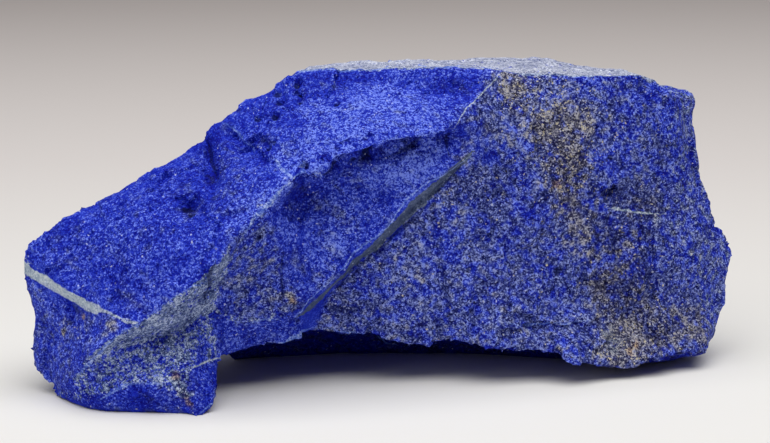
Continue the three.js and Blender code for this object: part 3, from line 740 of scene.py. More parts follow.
stonePaint = {
    "dust": [                                # pale bruised powder, and on the top face partly a painted sheen
        {"face": "top", "amount": 0.96, "blur": 2},
        {"face": "shoulder", "amount": 0.35, "blur": 3},
        {"face": "ledge", "amount": 0.84, "blur": 2},
        {"face": "footFace", "amount": 0.5, "blur": 8},
        {"face": "flank", "amount": 0.14, "blur": 10},
        {"face": "eastFacet", "amount": 0.2, "blur": 8},
        {"line": [(-59.3, -17.5, 1), (-53.3, -25, 2), (-50.3, -27, 4), (-45.8, -28, 5.5),
                  (-41.3, -28, 6.5), (-37.3, -28, 5), (-34.3, -28, 4)], "width": 0.8, "amount": 0.45},
        {"line": [(-30.8, -18, 16), (-27.3, -18.5, 14.5), (-22.3, -18.5, 14.5), (-18.3, -18, 15.5)],
         "width": 0.7, "amount": 0.4},
        {"spot": (-22.3, -22, 36), "reach": 3, "amount": 0.3},
        {"spot": (-5.3, -14, 22), "reach": 3, "amount": 0.4},
        {"spot": (-36.3, -24, 12), "reach": 5, "amount": 0.5},
        {"spot": (-36.3, -28, 5), "reach": 2.5, "amount": 0.5},
    ],
    "grey": [                                # dull grey and brown grains among the blue
        {"face": "mainFace", "amount": 0.6, "blur": 8},
        {"face": "flank", "amount": 0.45, "blur": 12},
        {"face": "westEnd", "amount": 0.2, "blur": 6},
        {"face": "eastFacet", "amount": 0.5, "blur": 6},
        {"face": "rearEast", "amount": 0.5, "blur": 12},
        {"face": "rearEnd", "amount": 0.5, "blur": 12},
        # painted shade: under the arch and in the undercut the rock is greyed towards the colour of the
        # shadow there
        {"face": "arch", "amount": 0.3, "blur": 2},
        {"face": "undercut", "amount": 0.5, "blur": 8},
        {"spot": (14.7, -5.5, 37), "reach": 6, "amount": 0.55},
        {"spot": (-9.3, -14, 33), "reach": 6, "amount": 0.3},
        {"spot": (-10.3, -15, 21), "reach": 4, "amount": 0.5},
    ],
    "deep": [                                # painted shade, darker under the arch and in the undercut
        {"face": "arch", "amount": 1.0, "blur": 1},
        {"face": "undercut", "amount": 0.6, "blur": 6},
    ],
    "olive": [                               # smooth drab film
        {"line": [(38.7, -0.5, 31), (39.2, -1.5, 25), (38.7, -2, 19.5), (38.7, -2, 14), (40.2, -2, 6.5)],
         "width": 2.4, "amount": 0.3},
        {"spot": (42.7, -1, 6), "reach": 5, "amount": 0.4},
        {"spot": (29.7, 0, 44), "reach": 6, "amount": 0.2},
        {"spot": (-29.8, -20, 22), "reach": 2.5, "amount": 0.6},
        {"face": "rearStep", "amount": 0.5, "blur": 3},
    ],
    "gold": [                                # warm pale grains and pyrite
        {"spot": (22.2, 0, 53), "reach": 4.5, "amount": 0.8},
        {"spot": (30.7, 0, 48), "reach": 8, "amount": 0.6},
        {"spot": (33.7, -1, 40), "reach": 7, "amount": 0.45},
        {"spot": (27.7, 1, 55), "reach": 6, "amount": 0.5},
        {"spot": (43.7, -1, 22), "reach": 6, "amount": 0.3},
        {"spot": (42.7, -1, 6), "reach": 6, "amount": 0.6},
        {"spot": (51.7, 1, 8), "reach": 7, "amount": 0.4},
        {"spot": (-57.3, -18, 12.5), "reach": 2, "amount": 0.5},
        {"spot": (-36.3, -28, 4), "reach": 2, "amount": 0.7},
        {"spot": (29.7, 28, 35), "reach": 10, "amount": 0.4},
    ],
    "bright": [                              # the cleanest, lightest blue, partly a painted light where a face turns up to the lamp
        {"face": "shell", "amount": 0.85, "blur": 6},
        {"spot": (-24.3, -20, 38), "reach": 5, "amount": 0.5},
        {"spot": (-44.3, -18, 29), "reach": 12, "amount": 0.2},
        {"spot": (5.7, -10.5, 41), "reach": 6, "amount": 0.7},
        {"line": [(-25.8, -24, 32), (-21.8, -22, 34.5), (-19.8, -20.5, 37.5), (-17.3, -20, 40)],
         "width": 1.6, "amount": 0.8},
    ],
    "calcite": [                             # the white vein, and thin white lines
        {"line": [(-65.3, -10.5, 22), (-62.3, -13.5, 21), (-58.3, -16.5, 19.5), (-54.3, -20, 18),
                  (-50.8, -22.5, 17.5)], "width": 0.95, "amount": 1.0},
        {"line": [(-64.8, -9.9, 21.9), (-64, -8, 22.2), (-62.7, -5.9, 22.6), (-60, -4.1, 22.8),
                  (-57.2, -1.9, 23.2)], "width": 0.7, "amount": 0.8},
        {"line": [(-50.8, -22.5, 17.5), (-48.3, -25, 17.5), (-45.3, -27, 16.5), (-42.8, -28, 16.5)],
         "width": 0.4, "amount": 0.8},
        {"line": [(-49.3, -25, 16), (-47.8, -26.5, 15), (-46.8, -27.5, 14)], "width": 1.2,
         "amount": 0.35},
        {"line": [(12.7, -7, 49), (14.7, -5, 51), (17.2, -3, 53), (18.2, -1.5, 54.5)], "width": 0.35,
         "amount": 0.7},
        {"line": [(14.7, -6.5, 42), (11.2, -9, 40), (7.7, -10.5, 37.5), (3.7, -12, 35),
                  (0.7, -12.5, 30.5), (-4.3, -13.5, 27)], "width": 0.3, "amount": 0.5},
        {"line": [(39.7, 0, 31), (41.7, 0.5, 30.5), (44.2, 1.5, 30), (48.2, 2.5, 29.5)],
         "width": 0.35, "amount": 0.6},
        {"line": [(24.2, -5.5, 10), (28.7, -3.5, 10.5), (31.7, -3, 9.5), (34.2, -3, 10),
                  (37.2, -2.5, 11)], "width": 0.3, "amount": 0.45},
    ],
}

# Where the break is smoother, or rougher with an amount under 0.
calmPlaces = [
    {"face": "longStep", "amount": 0.85, "blur": 2},
    {"face": "ledge", "amount": 0.55, "blur": 3},
    {"face": "veinStep", "amount": 0.7, "blur": 2},
    {"face": "top", "amount": 0.5, "blur": 3},
    {"face": "shell", "amount": 0.35, "blur": 6},
    {"line": [(-20, -1.5, 54.5), (-28.2, -3.2, 47.6), (-36, -4.5, 42.6), (-45, -6.5, 38),
              (-55, -8.5, 33)], "width": 3, "amount": 0.5},
    {"spot": (28, -1, 46), "reach": 13, "amount": -0.4},
    {"spot": (44, -1, 28), "reach": 14, "amount": -0.5},
    {"spot": (50, 1, 10), "reach": 12, "amount": -0.5},
]

# Lighter or darker places, and greyer or bluer ones, on each broken face, as (u, v, reach in mm,
# amount): an amount under 0 is darker or bluer. The lighter and darker ones are partly the rock's
# own patches and partly painted light and shade: paler where a face turns up to the light, as in
# the upper trough, and darker in the recess under the lip.
placeMarks = {
    "light": {
        "westEnd": [(112, 325, 2.0, 0.4), (45, 300, 3.0, 0.2), (60, 350, 4.0, 0.15)],
        "slope": [(215, 150, 6.0, -0.2), (200, 190, 7.0, -0.2), (208, 145, 2.2, -0.5),
                  (212, 170, 2.4, -0.3), (188, 207, 2.0, -0.4), (238, 224, 3.2, 0.45),
                  (262, 205, 2.0, 0.3), (178, 284, 3.2, 0.4), (150, 303, 2.4, 0.3),
                  (207, 272, 1.5, -0.6), (120, 300, 2.6, -0.3), (150, 235, 5.0, -0.05)],
        "rearSlope": [(206, 128, 1.8, -0.4)],
        "ledge": [(207, 298, 1.6, -0.6), (96, 352, 2.2, 0.35)],
        "flank": [(270, 262, 4.0, -0.1), (221, 298, 1.8, 0.4)],
        "footFace": [(104, 374, 2.8, -0.55)],
        "footLip": [(96, 402, 3.0, -0.35), (140, 396, 2.8, -0.4)],
        "top": [(350, 63, 5.0, 0.25), (400, 61, 6.0, 0.3), (455, 60, 6.0, 0.25)],
        "cove": [(330, 76, 3.0, -0.3), (375, 73, 3.0, -0.2), (458, 88, 3.0, -0.35)],
        "shell": [(345, 150, 5.0, 0.15), (275, 192, 2.6, 0.5), (360, 105, 6.0, 0.2),
                  (285, 145, 3.6, 0.25), (315, 172, 2.2, 0.4), (420, 128, 3.6, 0.25), (395, 96, 5.0, 0.2)],
        "recess": [(296, 202, 4.2, -0.5), (335, 165, 2.6, -0.3), (365, 156, 2.4, -0.45),
                   (395, 147, 2.2, -0.4)],
        "trough": [(330, 215, 9.0, 0.2), (400, 180, 6.0, 0.25), (300, 255, 8.0, 0.15),
                   (285, 228, 2.4, 0.3), (318, 230, 2.4, 0.25), (316, 190, 3.0, -0.3),
                   (420, 146, 2.0, -0.3), (405, 168, 3.4, 0.5), (430, 160, 3.0, 0.45),
                   (425, 178, 2.4, 0.35), (378, 178, 2.6, 0.3), (405, 203, 1.8, 0.5),
                   (383, 197, 1.7, -0.3), (338, 246, 1.7, 0.7), (349, 260, 1.6, -0.7),
                   (365, 215, 3.0, 0.15), (480, 148, 2.4, 0.25)],
        "longStep": [(340, 275, 5.0, -0.15)],
        "mainFace": [(560, 178, 6.0, -0.25), (645, 110, 6.0, 0.15), (420, 300, 9.0, 0.1),
                     (560, 300, 7.0, 0.1), (440, 270, 8.0, 0.12), (625, 320, 8.0, -0.2),
                     (590, 245, 6.0, -0.12), (488, 196, 3.0, -0.35), (508, 225, 3.0, -0.2),
                     (515, 265, 3.4, -0.2), (505, 300, 3.0, -0.2), (462, 297, 3.0, -0.2),
                     (440, 215, 4.0, 0.2), (398, 270, 4.0, 0.15), (575, 180, 3.4, -0.35),
                     (612, 190, 3.0, -0.2), (610, 232, 4.0, -0.4), (645, 232, 4.0, -0.4),
                     (638, 272, 4.4, -0.35), (598, 280, 2.6, -0.2), (662, 340, 2.6, -0.4),
                     (503, 90, 2.4, 0.5), (565, 95, 3.6, 0.4), (590, 115, 3.4, 0.4),
                     (545, 112, 2.6, 0.3), (512, 142, 3.2, 0.45), (545, 192, 3.0, 0.3),
                     (572, 256, 3.2, 0.3), (486, 264, 2.8, 0.25), (570, 315, 3.4, 0.2),
                     (615, 336, 4.0, 0.35)],
        "eastFacet": [(712, 300, 3.4, 0.4), (706, 250, 3.0, 0.3), (720, 265, 2.4, 0.3),
                      (680, 190, 2.6, -0.3)],
    },
    "shift": {
        "westEnd": [(84, 320, 2.4, 0.3), (111, 324, 2.0, 0.7), (60, 335, 4.0, 0.2)],
        "slope": [(78, 256, 3.4, 0.35), (196, 208, 3.2, 0.4), (207, 166, 3.0, 0.3), (136, 302, 2.8, 0.5),
                  (232, 175, 4.0, 0.2), (262, 130, 3.0, 0.15)],
        "flank": [(258, 288, 4.6, 0.2), (292, 301, 1.7, 0.7), (284, 285, 1.2, -0.5)],
        "footFace": [(176, 378, 2.2, 0.6)],
        "footLip": [(184, 392, 2.6, 0.8)],
        "recess": [(345, 154, 2.2, 0.15), (375, 149, 2.0, 0.2), (300, 200, 4.0, 0.1)],
        "trough": [(470, 140, 3.0, 0.3), (450, 182, 2.8, 0.2), (470, 180, 3.2, 0.1),
                   (490, 160, 2.6, -0.2), (405, 146, 2.0, 0.2), (430, 144, 1.8, 0.15),
                   (301, 268, 3.2, 0.3), (284, 262, 1.2, -0.5), (328, 282, 2.6, -0.4),
                   (345, 264, 2.2, -0.4)],
        "longStep": [(463, 160, 2.4, 0.3)],
        "mainFace": [(478, 118, 3.4, 0.2), (511, 92, 2.8, 0.7), (543, 130, 3.6, 0.6),
                     (580, 125, 4.6, 0.6), (568, 162, 3.4, 0.6), (560, 196, 3.2, 0.6),
                     (580, 226, 4.0, 0.7), (603, 290, 3.6, 0.8), (620, 330, 6.0, 0.7),
                     (655, 340, 4.0, 0.5), (692, 318, 4.0, 0.5), (645, 204, 4.6, 0.6),
                     (622, 256, 3.6, 0.4), (640, 292, 3.6, 0.3), (702, 340, 3.0, 0.5),
                     (596, 80, 2.8, -0.8), (640, 98, 4.4, -0.5), (618, 165, 4.0, -0.5),
                     (614, 262, 1.8, -0.6), (612, 290, 1.6, -0.5), (606, 148, 3.0, -0.4),
                     (664, 262, 3.4, -0.3), (520, 180, 3.0, -0.3), (532, 215, 3.2, -0.4),
                     (505, 245, 3.2, -0.3), (474, 222, 3.4, -0.25), (548, 270, 3.6, -0.3),
                     (420, 235, 3.0, -0.2), (455, 255, 3.0, -0.2), (330, 330, 4.0, 0.1)],
        "eastFacet": [(674, 112, 3.4, -0.5), (682, 165, 4.4, -0.3)],
    },
}

# Thin lines on the stone, each as (u, v, half width in mm) along its way.
lineMarks = {
    # pale lines: bruised edges, and partly painted highlights along the brinks of the forms
    "pale": {
        "topEdge": [(297, 72, 0.1), (320, 70, 0.25), (345, 69, 0.3), (380, 67.5, 0.35), (410, 66, 0.4),
                    (446, 67, 0.4), (484, 67, 0.35), (500, 68, 0.15)],
        "scarLip": [(272, 155, 0.0), (281, 168, 0.3), (295, 179, 0.4), (311, 175, 0.35),
                    (326, 171, 0.12), (338, 162, 0.0)],
        "scarRim": [(287, 185, 0.1), (279, 193, 0.5), (272, 202, 0.5), (259, 214, 0.6), (253, 221, 0.3),
                    (244, 236, 0.1)],
        "stepEdge": [(470, 156, 0.05), (452, 170, 0.1), (430, 182, 0.25), (423, 186, 0.2),
                     (410, 198, 0.35), (402, 205, 0.3), (399, 210, 0.15), (388, 227, 0.1),
                     (367, 244, 0.22), (353, 252, 0.1), (345, 266, 0.2), (338, 276, 0.1),
                     (323, 288, 0.2), (309, 300, 0.2), (301, 311, 0.1), (294, 319, 0.0)],
        "archLip": [(279, 345, 0.1), (291, 339, 0.4), (300, 333.5, 0.4), (307, 330.5, 0.2),
                    (332, 331, 0.05), (353, 335, 0.15), (367, 336.5, 0.1), (379, 339, 0.25),
                    (388, 343, 0.2), (401, 346.5, 0.0)],
        "flankFoot": [(250, 324, 0.1), (262, 321, 0.16), (272, 319.5, 0.16), (281, 320, 0.0)],
        "ledgeEdge": [(81, 371, 0.25), (91, 361, 0.3), (101, 352, 0.3), (112, 341, 0.15),
                      (122, 332, 0.2), (138, 325, 0.12), (158, 309, 0.1), (176, 297, 0.12),
                      (193, 287, 0.15), (204, 284, 0.1)],
        "footEdge": [(99, 400, 0.1), (115, 391, 0.3), (127, 386, 0.35), (142, 383, 0.35),
                     (158, 384, 0.3), (167, 386, 0.1)],
        "toeEdge": [(217, 388, 0.05), (214, 401, 0.15), (204, 411, 0.15), (198, 415, 0.0)],
        "shellNick": [(300, 165.5, 0.1), (302.5, 163.5, 0.5), (305, 161.5, 0.15)],
        "sill": [(508, 322, 0.0), (530, 326, 0.14), (560, 323, 0.2), (584, 320, 0.1)],
        "browLine": [(228, 129, 0.0), (236, 131, 0.14), (243, 138, 0.16), (252, 148, 0.0)],
    },
    # dark lines: cracks, and painted shade under rims and at the feet of steps, as the shadow line under
    # the scar's lip
    "dark": {
        "underScar": [(295, 184, 0.05), (311, 179.5, 0.2), (326, 176, 0.3), (338, 166, 0.3),
                      (351, 156, 0.35), (367, 154, 0.3), (378, 147, 0.4), (387, 142, 0.3),
                      (408, 142.5, 0.3), (426, 138, 0.3), (438, 136, 0.0)],
        "troughCrack": [(386, 160, 0.0), (404, 154, 0.3), (417, 150, 0.3), (428, 143, 0.1)],
        "stepFoot": [(468, 158, 0.0), (458, 170, 0.3), (447, 183, 0.25), (433, 195, 0.2),
                     (419, 216, 0.25), (405, 227, 0.25), (394, 237, 0.2), (382, 249, 0.2),
                     (367, 258, 0.15), (353, 275, 0.15), (338, 290, 0.1), (320, 305, 0.0)],
        "westCrack": [(38, 326, 0.1), (44, 328, 0.22), (55, 326.5, 0.0)],
        "stepEnd": [(316, 321, 0.0), (319, 331, 0.2)],
        "flankSeam": [(284, 250, 0.0), (283, 265, 0.25), (283, 281, 0.25), (282, 300, 0.25),
                      (281, 316, 0.0)],
        "mainSeam": [(460, 126, 0.0), (452, 138, 0.25), (449, 146, 0.25), (450, 162, 0.0)],
        "shellNick": [(300, 167.5, 0.1), (304, 165.5, 0.35), (307, 163, 0.1)],
        "slopeBreak": [(209, 133, 0.0), (210, 145, 0.3), (209, 158, 0.4), (212, 170, 0.2),
                       (214, 182, 0.0)],
        "ledgeBreak": [(215, 262, 0.1), (213, 275, 0.5), (211, 290, 0.6), (207, 300, 0.2)],
    },
    "film": {
        "longStep": [(470, 154, 0.4), (459, 165, 0.8), (446, 177, 1.2), (433, 189, 1.6), (417, 203, 1.8),
                     (402, 219, 1.7), (388, 232, 1.4), (372, 249, 1.2), (356, 262, 1.1), (340, 279, 1.0),
                     (324, 295, 0.8), (309, 308, 0.6), (298, 318, 0.1)],
    },
    "vein": {
        "mainVein": [(26, 268, 1.0), (36, 275, 0.85), (47, 280, 0.6), (51, 284, 0.5), (58, 289, 0.62),
                     (66, 294, 0.7), (74, 298, 0.75), (81, 301, 0.75), (89, 305.5, 0.5), (98, 311, 0.12)],
        "shellVein": [(499, 75, 0.06), (491, 85, 0.14), (476, 98, 0.2), (468, 106, 0.16),
                      (459, 121, 0.08), (450, 132, 0.0)],
        "footVein": [(193, 368, 0.06), (204, 363, 0.16), (213, 359.5, 0.12), (223, 357.5, 0.0)],
        "westVein": [(112, 315, 0.1), (120, 317.5, 0.09), (129, 320, 0.0)],
        "eastVein": [(612, 208, 0.06), (622, 209.5, 0.2), (630, 210.5, 0.22), (640, 213, 0.12),
                     (654, 212.5, 0.12), (668, 214, 0.0)],
    },
}

# Pits and stains, as (u, v, reach in mm).
spotMarks = {
    "pit": [(277, 95, 0.8), (279, 103, 0.6), (297, 84, 0.5), (298, 93, 0.6), (299, 102, 0.5),
            (337, 103, 0.5), (275, 117, 0.9), (259, 120, 0.5), (187, 208, 0.9), (191, 213, 0.7),
            (273, 142, 0.8), (268, 148, 0.5), (367, 157, 0.9), (354, 162, 0.5), (553, 177, 0.6),
            (558, 271, 0.7), (412, 198, 0.0), (470, 270, 0.5), (259, 238, 0.5), (205, 120, 0.5)],
    "rust": [(189, 404, 0.8), (186, 400, 0.5), (176, 375, 1.0), (83, 317, 0.6), (634, 341, 0.8),
             (557, 184, 1.0), (337, 105, 0.4), (628, 347, 0.8), (292, 300, 0.6)],
}

# How softly marks and strokes fade, and how far they wander from the round.
markLook = {
    "markFall": 1.2, "spotFall": 1.5,
    "wander": [(4.0, 1.6, 5), (1.2, 0.5, 6)],      # size and height in mm, and seed
    "lineReach": 1.5,                              # mm, how far a thin line is followed
    "spotLowest": -2.0,                            # mm, what a spot's layer falls to away from it
}


def nearLine(points, normals, line):
    # signed distance to a line that lies on the skin, and its half width there
    way = np.array([mark[:3] for mark in line], float)
    widths = np.array([mark[3] for mark in line])
    best = np.full(len(points), np.inf)
    side = np.zeros(len(points))
    wide = np.full(len(points), -1.0)
    for i in range(len(way) - 1):
        length = np.linalg.norm(way[i + 1] - way[i])
        along = (way[i + 1] - way[i]) / length
        t = np.clip((points - way[i]) @ along, 0, length)
        gap = points - (way[i] + t[:, None] * along)
        far = np.linalg.norm(gap, axis=1)
        near = far < best
        best[near] = far[near]
        across = (gap[near] * np.cross(along, normals[near])).sum(1)
        side[near] = np.where(across < 0, -1, 1) * far[near]
        wide[near] = widths[i] + (widths[i + 1] - widths[i]) * t[near] / length
    return side, wide


def lineLayer(points, normals, lines, reach):
    # one layer for many lines: every point keeps the line that covers it most
    cover = np.full(len(points), -np.inf)
    side = np.full(len(points), reach)
    wide = np.full(len(points), -1.0)
    for line in lines:
        offset, half = nearLine(points, normals, line)
        depth = half - np.abs(offset)
        better = (depth > cover) & (np.abs(offset) < reach)
        cover[better] = depth[better]
        side[better] = offset[better]
        wide[better] = half[better]
    return side, wide


def spotLayer(points, spots, lowest):
    # reach less distance, the most of any spot
    depth = np.full(len(points), lowest)
    for x, y, z, reach in spots:
        depth = np.maximum(depth, reach - np.linalg.norm(points - (x, y, z), axis=1))
    return depth


def placeLayer(points, places, steepness):
    total = np.zeros(len(points))
    for x, y, z, reach, amount in places:
        distance = np.linalg.norm(points - (x, y, z), axis=1)
        total += amount * bell(distance, reach, steepness)
    return total


def paintLayer(points, edges, shares, strokes):
    clear = np.ones(len(points))
    for stroke in strokes:
        if "face" in stroke:
            cover = blur(shares[stroke["face"]], edges, stroke["blur"])
        elif "line" in stroke:
            cover = bell(toLine(points, stroke["line"])[0], stroke["width"])
        else:
            distance = np.linalg.norm(points - np.array(stroke["spot"], float), axis=1)
            cover = bell(distance, stroke["reach"], markLook["spotFall"])
        clear *= 1 - stroke["amount"] * cover
    return 1 - clear


def ridgeAndHollow(points, corners, edges, rounds):
    # how far each point stands over, or lies under, the skin around it
    mean = points
    for _ in range(rounds):
        mean = neighbourMean(mean, edges)
    return ((points - mean) * normalsOf(points, corners)).sum(1)


def traceMarks(mesh, points, normals, tree, look):
    # lays the lines, places and spots on the skin, and returns the layers that are also carved
    found = {}
    for name, lines in lineMarks.items():
        placed = [markPlaces(tree, line) for line in lines.values()]
        found[name] = lineLayer(points, normals, placed, look["lineReach"])
        attributeOn(mesh, name + "Side", found[name][0])
        attributeOn(mesh, name + "Half", found[name][1])
    strayed = points + sum(wobble(points, *wander) for wander in look["wander"])
    for name, faces in placeMarks.items():
        placed = [place for marks in faces.values() for place in markPlaces(tree, marks)]
        total = placeLayer(strayed, placed, look["markFall"])
        attributeOn(mesh, name, np.clip(total, -1, 1))
    for name, spots in spotMarks.items():
        found[name] = spotLayer(points, markPlaces(tree, spots), look["spotLowest"])
        attributeOn(mesh, name, found[name])
    return found


def carvedDepth(points, found, tree, look):
    # how deep the cuts, dents, pits and cracks go, in mm
    depth = sum(cutDepth(points, cut, i, cutLook) for i, cut in enumerate(cuts.values()))
    depth = depth + placeLayer(points, markPlaces(tree, dents), markLook["markFall"])
    depth = depth + smooth(*look["pitEdge"], found["pit"]) * look["pitDepth"]
    side, half = found["dark"]
    crack = smooth(*look["crackEdge"], half - np.abs(side)) * smooth(*look["crackOpen"], half)
    return depth + crack * look["crackDepth"]


def keepInside(mesh, look):
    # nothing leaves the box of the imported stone
    low = np.array(cadLow) / mm + look["clearance"] * np.array([1, 1, 0])
    high = np.array(cadHigh) / mm - look["clearance"]
    points = np.clip(pointsOf(mesh), low, high)
    setPoints(mesh, points)
    return points


def findWearHighlightAndShade(mesh, points, corners, edges, look):
    # rims are worn pale and partly carry a painted highlight, and hollows are darkened as painted shade,
    # on small forms and on large ones
    rim, hollow = 0, 0
    for form in look["wornEdges"]:
        height = ridgeAndHollow(points, corners, edges, form["rounds"])
        rim = rim + smooth(*form["rim"], height) * form["rimShare"]
        hollow = hollow + smooth(*form["hollow"], -height) * form["hollowShare"]
    attributeOn(mesh, "rim", rim)
    attributeOn(mesh, "hollow", hollow)


def dressStone(piece, look, material):
    mesh = piece.data
    points, corners, edges = pointsOf(mesh), cornersOf(mesh), edgesOf(mesh)
    normals = normalsOf(points, corners)
    tree = treeOf(packedStone)
    shares = faceShares(points, packedStone, faceSeeds, look["weld"])
    for name, strokes in stonePaint.items():
        attributeOn(mesh, name, paintLayer(points, edges, shares, strokes))
    found = traceMarks(mesh, points, normals, tree, markLook)
    calm = paintLayer(points, edges, shares, calmPlaces)
    resting = smooth(*look["restEdge"], points[:, 2])
    attributeOn(mesh, "calm", np.where(resting > 0, np.maximum(calm, resting), calm))
    carved = carvedDepth(points, found, tree, look)
    setPoints(mesh, pushSkin(points) - normals * carved[:, None])
    piece.data = runTree(piece, fractureTree(material, look), look)
    points = keepInside(piece.data, look)
    findWearHighlightAndShade(piece.data, points, corners, edges, look)


# lapis

lapisLook = {
    # each list runs from the darkest grains to the palest
    "blues": [(0.0, tint(0, 0, 126)), (0.3, tint(5, 21, 163)), (0.5, tint(24, 46, 186)),
              (0.72, tint(54, 76, 210)), (1.0, tint(124, 146, 248))],
    "greys": [(0.0, tint(0, 2, 78)), (0.3, tint(32, 42, 119)), (0.5, tint(60, 72, 146)),
              (0.72, tint(88, 101, 174)), (1.0, tint(150, 163, 226))],
    "browns": [(0.0, tint(10, 10, 46)), (0.3, tint(50, 50, 85)), (0.5, tint(80, 80, 110)),
               (0.72, tint(108, 109, 136)), (1.0, tint(180, 178, 188))],
    "dusts": [(0.0, tint(32, 46, 100)), (0.5, tint(104, 124, 168)), (1.0, tint(200, 212, 234))],
    "powders": [(0.0, tint(126, 134, 164)), (0.5, tint(184, 188, 203)), (1.0, tint(236, 236, 239))],
    "films": [(0.0, tint(34, 44, 76)), (0.5, tint(72, 86, 110)), (1.0, tint(128, 140, 158))],
    "veins": [(0.0, tint(100, 120, 156)), (0.5, tint(172, 186, 202)), (1.0, tint(230, 234, 234))],
    "warms": [(0.0, tint(26, 26, 40)), (0.5, tint(104, 98, 88)), (1.0, tint(214, 204, 176))],
    "darks": [(0.0, tint(2, 5, 34)), (0.5, tint(12, 22, 84)), (1.0, tint(44, 58, 132))],
    "pales": [(0.0, tint(50, 76, 190)), (0.5, tint(98, 128, 222)), (1.0, tint(186, 202, 244))],
    "rusts": [(0.0, tint(40, 30, 44)), (0.5, tint(104, 84, 88)), (1.0, tint(196, 164, 124))],
    "glint": tint(224, 230, 250),

    # sizes of the patterns in mm, and how much each one changes the tone of a grain
    "bendSize": 0.5, "bend": 0.5,
    "grainSize": 0.28, "grainShare": 0.85,
    "fineSize": 0.2, "fineShare": 1.2,
    "clusterSize": 1.8, "clusterShare": 0.5, "greyCluster": 0.4,
    "mottleSize": 6.5, "mottleShare": 0.5,
    "speckSize": 1.1,
    "flowSize": 1.3, "flowShare": 1.0, "flowStretch": (1.0, 1.0, 2.6),
    "streakSize": 2.4, "streakShare": 1.1,
    "streakTurn": (0.0, 0.57, 0.06), "streakStretch": (2.6, 1.0, 1.0),

    # how strongly the grains differ, and what makes them paler or darker
    "plainContrast": 0.9, "calmContrast": 0.6,
    "contrast": {"grey": 0.5, "dust": 0.5, "gold": 0.3, "bright": 0.45},
    "middleTone": 0.5, "lightShare": 0.4,
    # rims paler, partly from wear and partly a painted highlight; hollows darker, a painted shade
    "edgeTone": {"rim": 0.12, "hollow": -0.16},
    # painted shade: the rock under the arch and in the undercut is darker
    "rockTone": {"grey": 0.05, "deep": -0.35},
    "blueTone": {"bright": 0.16, "grey": -0.04},

    # where the rock is grey instead of blue, and brown instead of grey
    "greyness": {"shift": 0.8, "streak": 1.9, "speck": 0.9, "greySpeck": 1.6, "plain": 0.06,
                 "gold": 0.3, "range": (0.05, 0.95)},
    "brownness": {"shift": 0.7, "gold": 0.35, "speck": 0.7, "cluster": 1.1, "range": (0.06, 0.6),
                  "gateShift": 0.5, "gate": (0.02, 0.45)},

    # what lies over the rock: each starts and is whole within its range, and hides that share
    "warm": {"gold": 0.26, "grey": 0.012, "tone": 0.12, "range": (0.996, 1.006), "share": 0.9},
    "film": {"cluster": 0.7, "range": (0.3, 0.7), "share": 0.85},
    "powder": {"speck": 1.2, "kind": 0.6, "range": (0.38, 0.62), "gate": (0.04, 0.3),
               "thick": (0.88, 1.0), "share": 0.9},
    "calcite": {"cluster": 0.6, "range": (0.35, 0.6), "share": 0.8},
    "glints": {"gold": 0.025, "range": (0.995, 0.999), "share": 0.6},
    "rust": {"range": (-0.2, 0.5), "share": 0.7},
    "pit": {"range": (-0.25, 0.35), "share": 0.8},
    "lineColours": {"film": "films", "dark": "darks", "pale": "pales", "vein": "veins"},
    "lineShares": {"film": 0.9, "dark": 0.6, "pale": 0.85, "vein": 1.0},
    "lineEdge": (-0.12, 0.12), "lineWander": 0.5, "lineFray": 0.2,
    "strayingSpeck": 0.9, "strayingCluster": 0.8,

    # the surface, with heights in mm
    "roughness": 0.6, "roughShare": 0.3, "specular": 0.12,
    "facetSize": 1.4, "facetDepth": 0.17,        # the facet size counts in grains
    "fineDepth": 0.08, "clusterDepth": 0.2, "calmShare": 0.5,
}


def weigh(total, layer, shares):
    # adds paint layers to a value, each by its own share
    for name, share in shares.items():
        total = total + layer[name] * share
    return total


def paintedLayers(bench):
    names = [*stonePaint, "calm", "rim", "hollow", *placeMarks, *spotMarks]
    names += [name + part for name in lineMarks for part in ("Side", "Half")]
    return {name: bench.node("ShaderNodeAttribute", {"attribute_name": name}, output="Fac")
            for name in names}


def rockPatterns(bench, look):
    # shade, kind and shine are a share for each grain, and cluster runs from 0 to 1; from clusters
    # on they swing about zero. The shifts of place keep the clouds from lining up.
    place = bench.node("ShaderNodeTexCoord", output="Object") * (1 / mm)
    bent = place + bench.bend(place, look["bendSize"]) * look["bend"]
    shade, kind, shine = bench.channels(bench.cells(bent, look["grainSize"]))
    cluster = bench.cloud(place + (31.0, 7.0, 3.0), look["clusterSize"], 2, 0.6)
    along = bench.node("ShaderNodeMapping", {"vector_type": "TEXTURE"}, {
        "Vector": place, "Rotation": look["streakTurn"], "Scale": look["streakStretch"]})
    upright = bench.node("ShaderNodeMapping", {"vector_type": "TEXTURE"}, {
        "Vector": bent, "Scale": look["flowStretch"]})
    return {
        "bent": bent, "shade": shade, "kind": kind, "shine": shine, "cluster": cluster,
        "clusters": cluster - 0.5,
        "fine": bench.cloud(place, look["fineSize"], 2, 0.6) - 0.5,
        "speck": bench.cloud(place + (5.0, 11.0, 17.0), look["speckSize"], 0, 0.5) - 0.5,
        "mottle": bench.cloud(place, look["mottleSize"], 4, 0.6) - 0.5,
        "streak": bench.cloud(along, look["streakSize"], 2, 0.58) - 0.5,
        "flow": bench.cloud(upright, look["flowSize"], 4, 0.6) - 0.5,
    }


def grainTone(bench, look, layer, rock):
    # how pale each grain is, the same in every colour of the rock
    calm = bench.maths("MAXIMUM", layer["calm"], 0.0)
    contrast = weigh(0.0, layer, look["contrast"]) + look["plainContrast"] - calm * look["calmContrast"]
    tone = (rock["shade"] - 0.5) * look["grainShare"] + rock["fine"] * look["fineShare"]
    tone = tone * contrast
    tone = tone + rock["clusters"] * (layer["grey"] * look["greyCluster"] + look["clusterShare"])
    tone = tone + rock["mottle"] * look["mottleShare"]
    tone = weigh(tone, layer, look["edgeTone"]) + look["middleTone"]
    # painted light and shade, together with the rock's own paler and darker patches
    tone = tone + layer["light"] * look["lightShare"] * (rock["cluster"] + 0.5)
    tone = tone + rock["flow"] * layer["grey"] * look["flowShare"]
    tone = tone + rock["streak"] * layer["dust"] * look["streakShare"]
    return weigh(tone, layer, look["rockTone"])


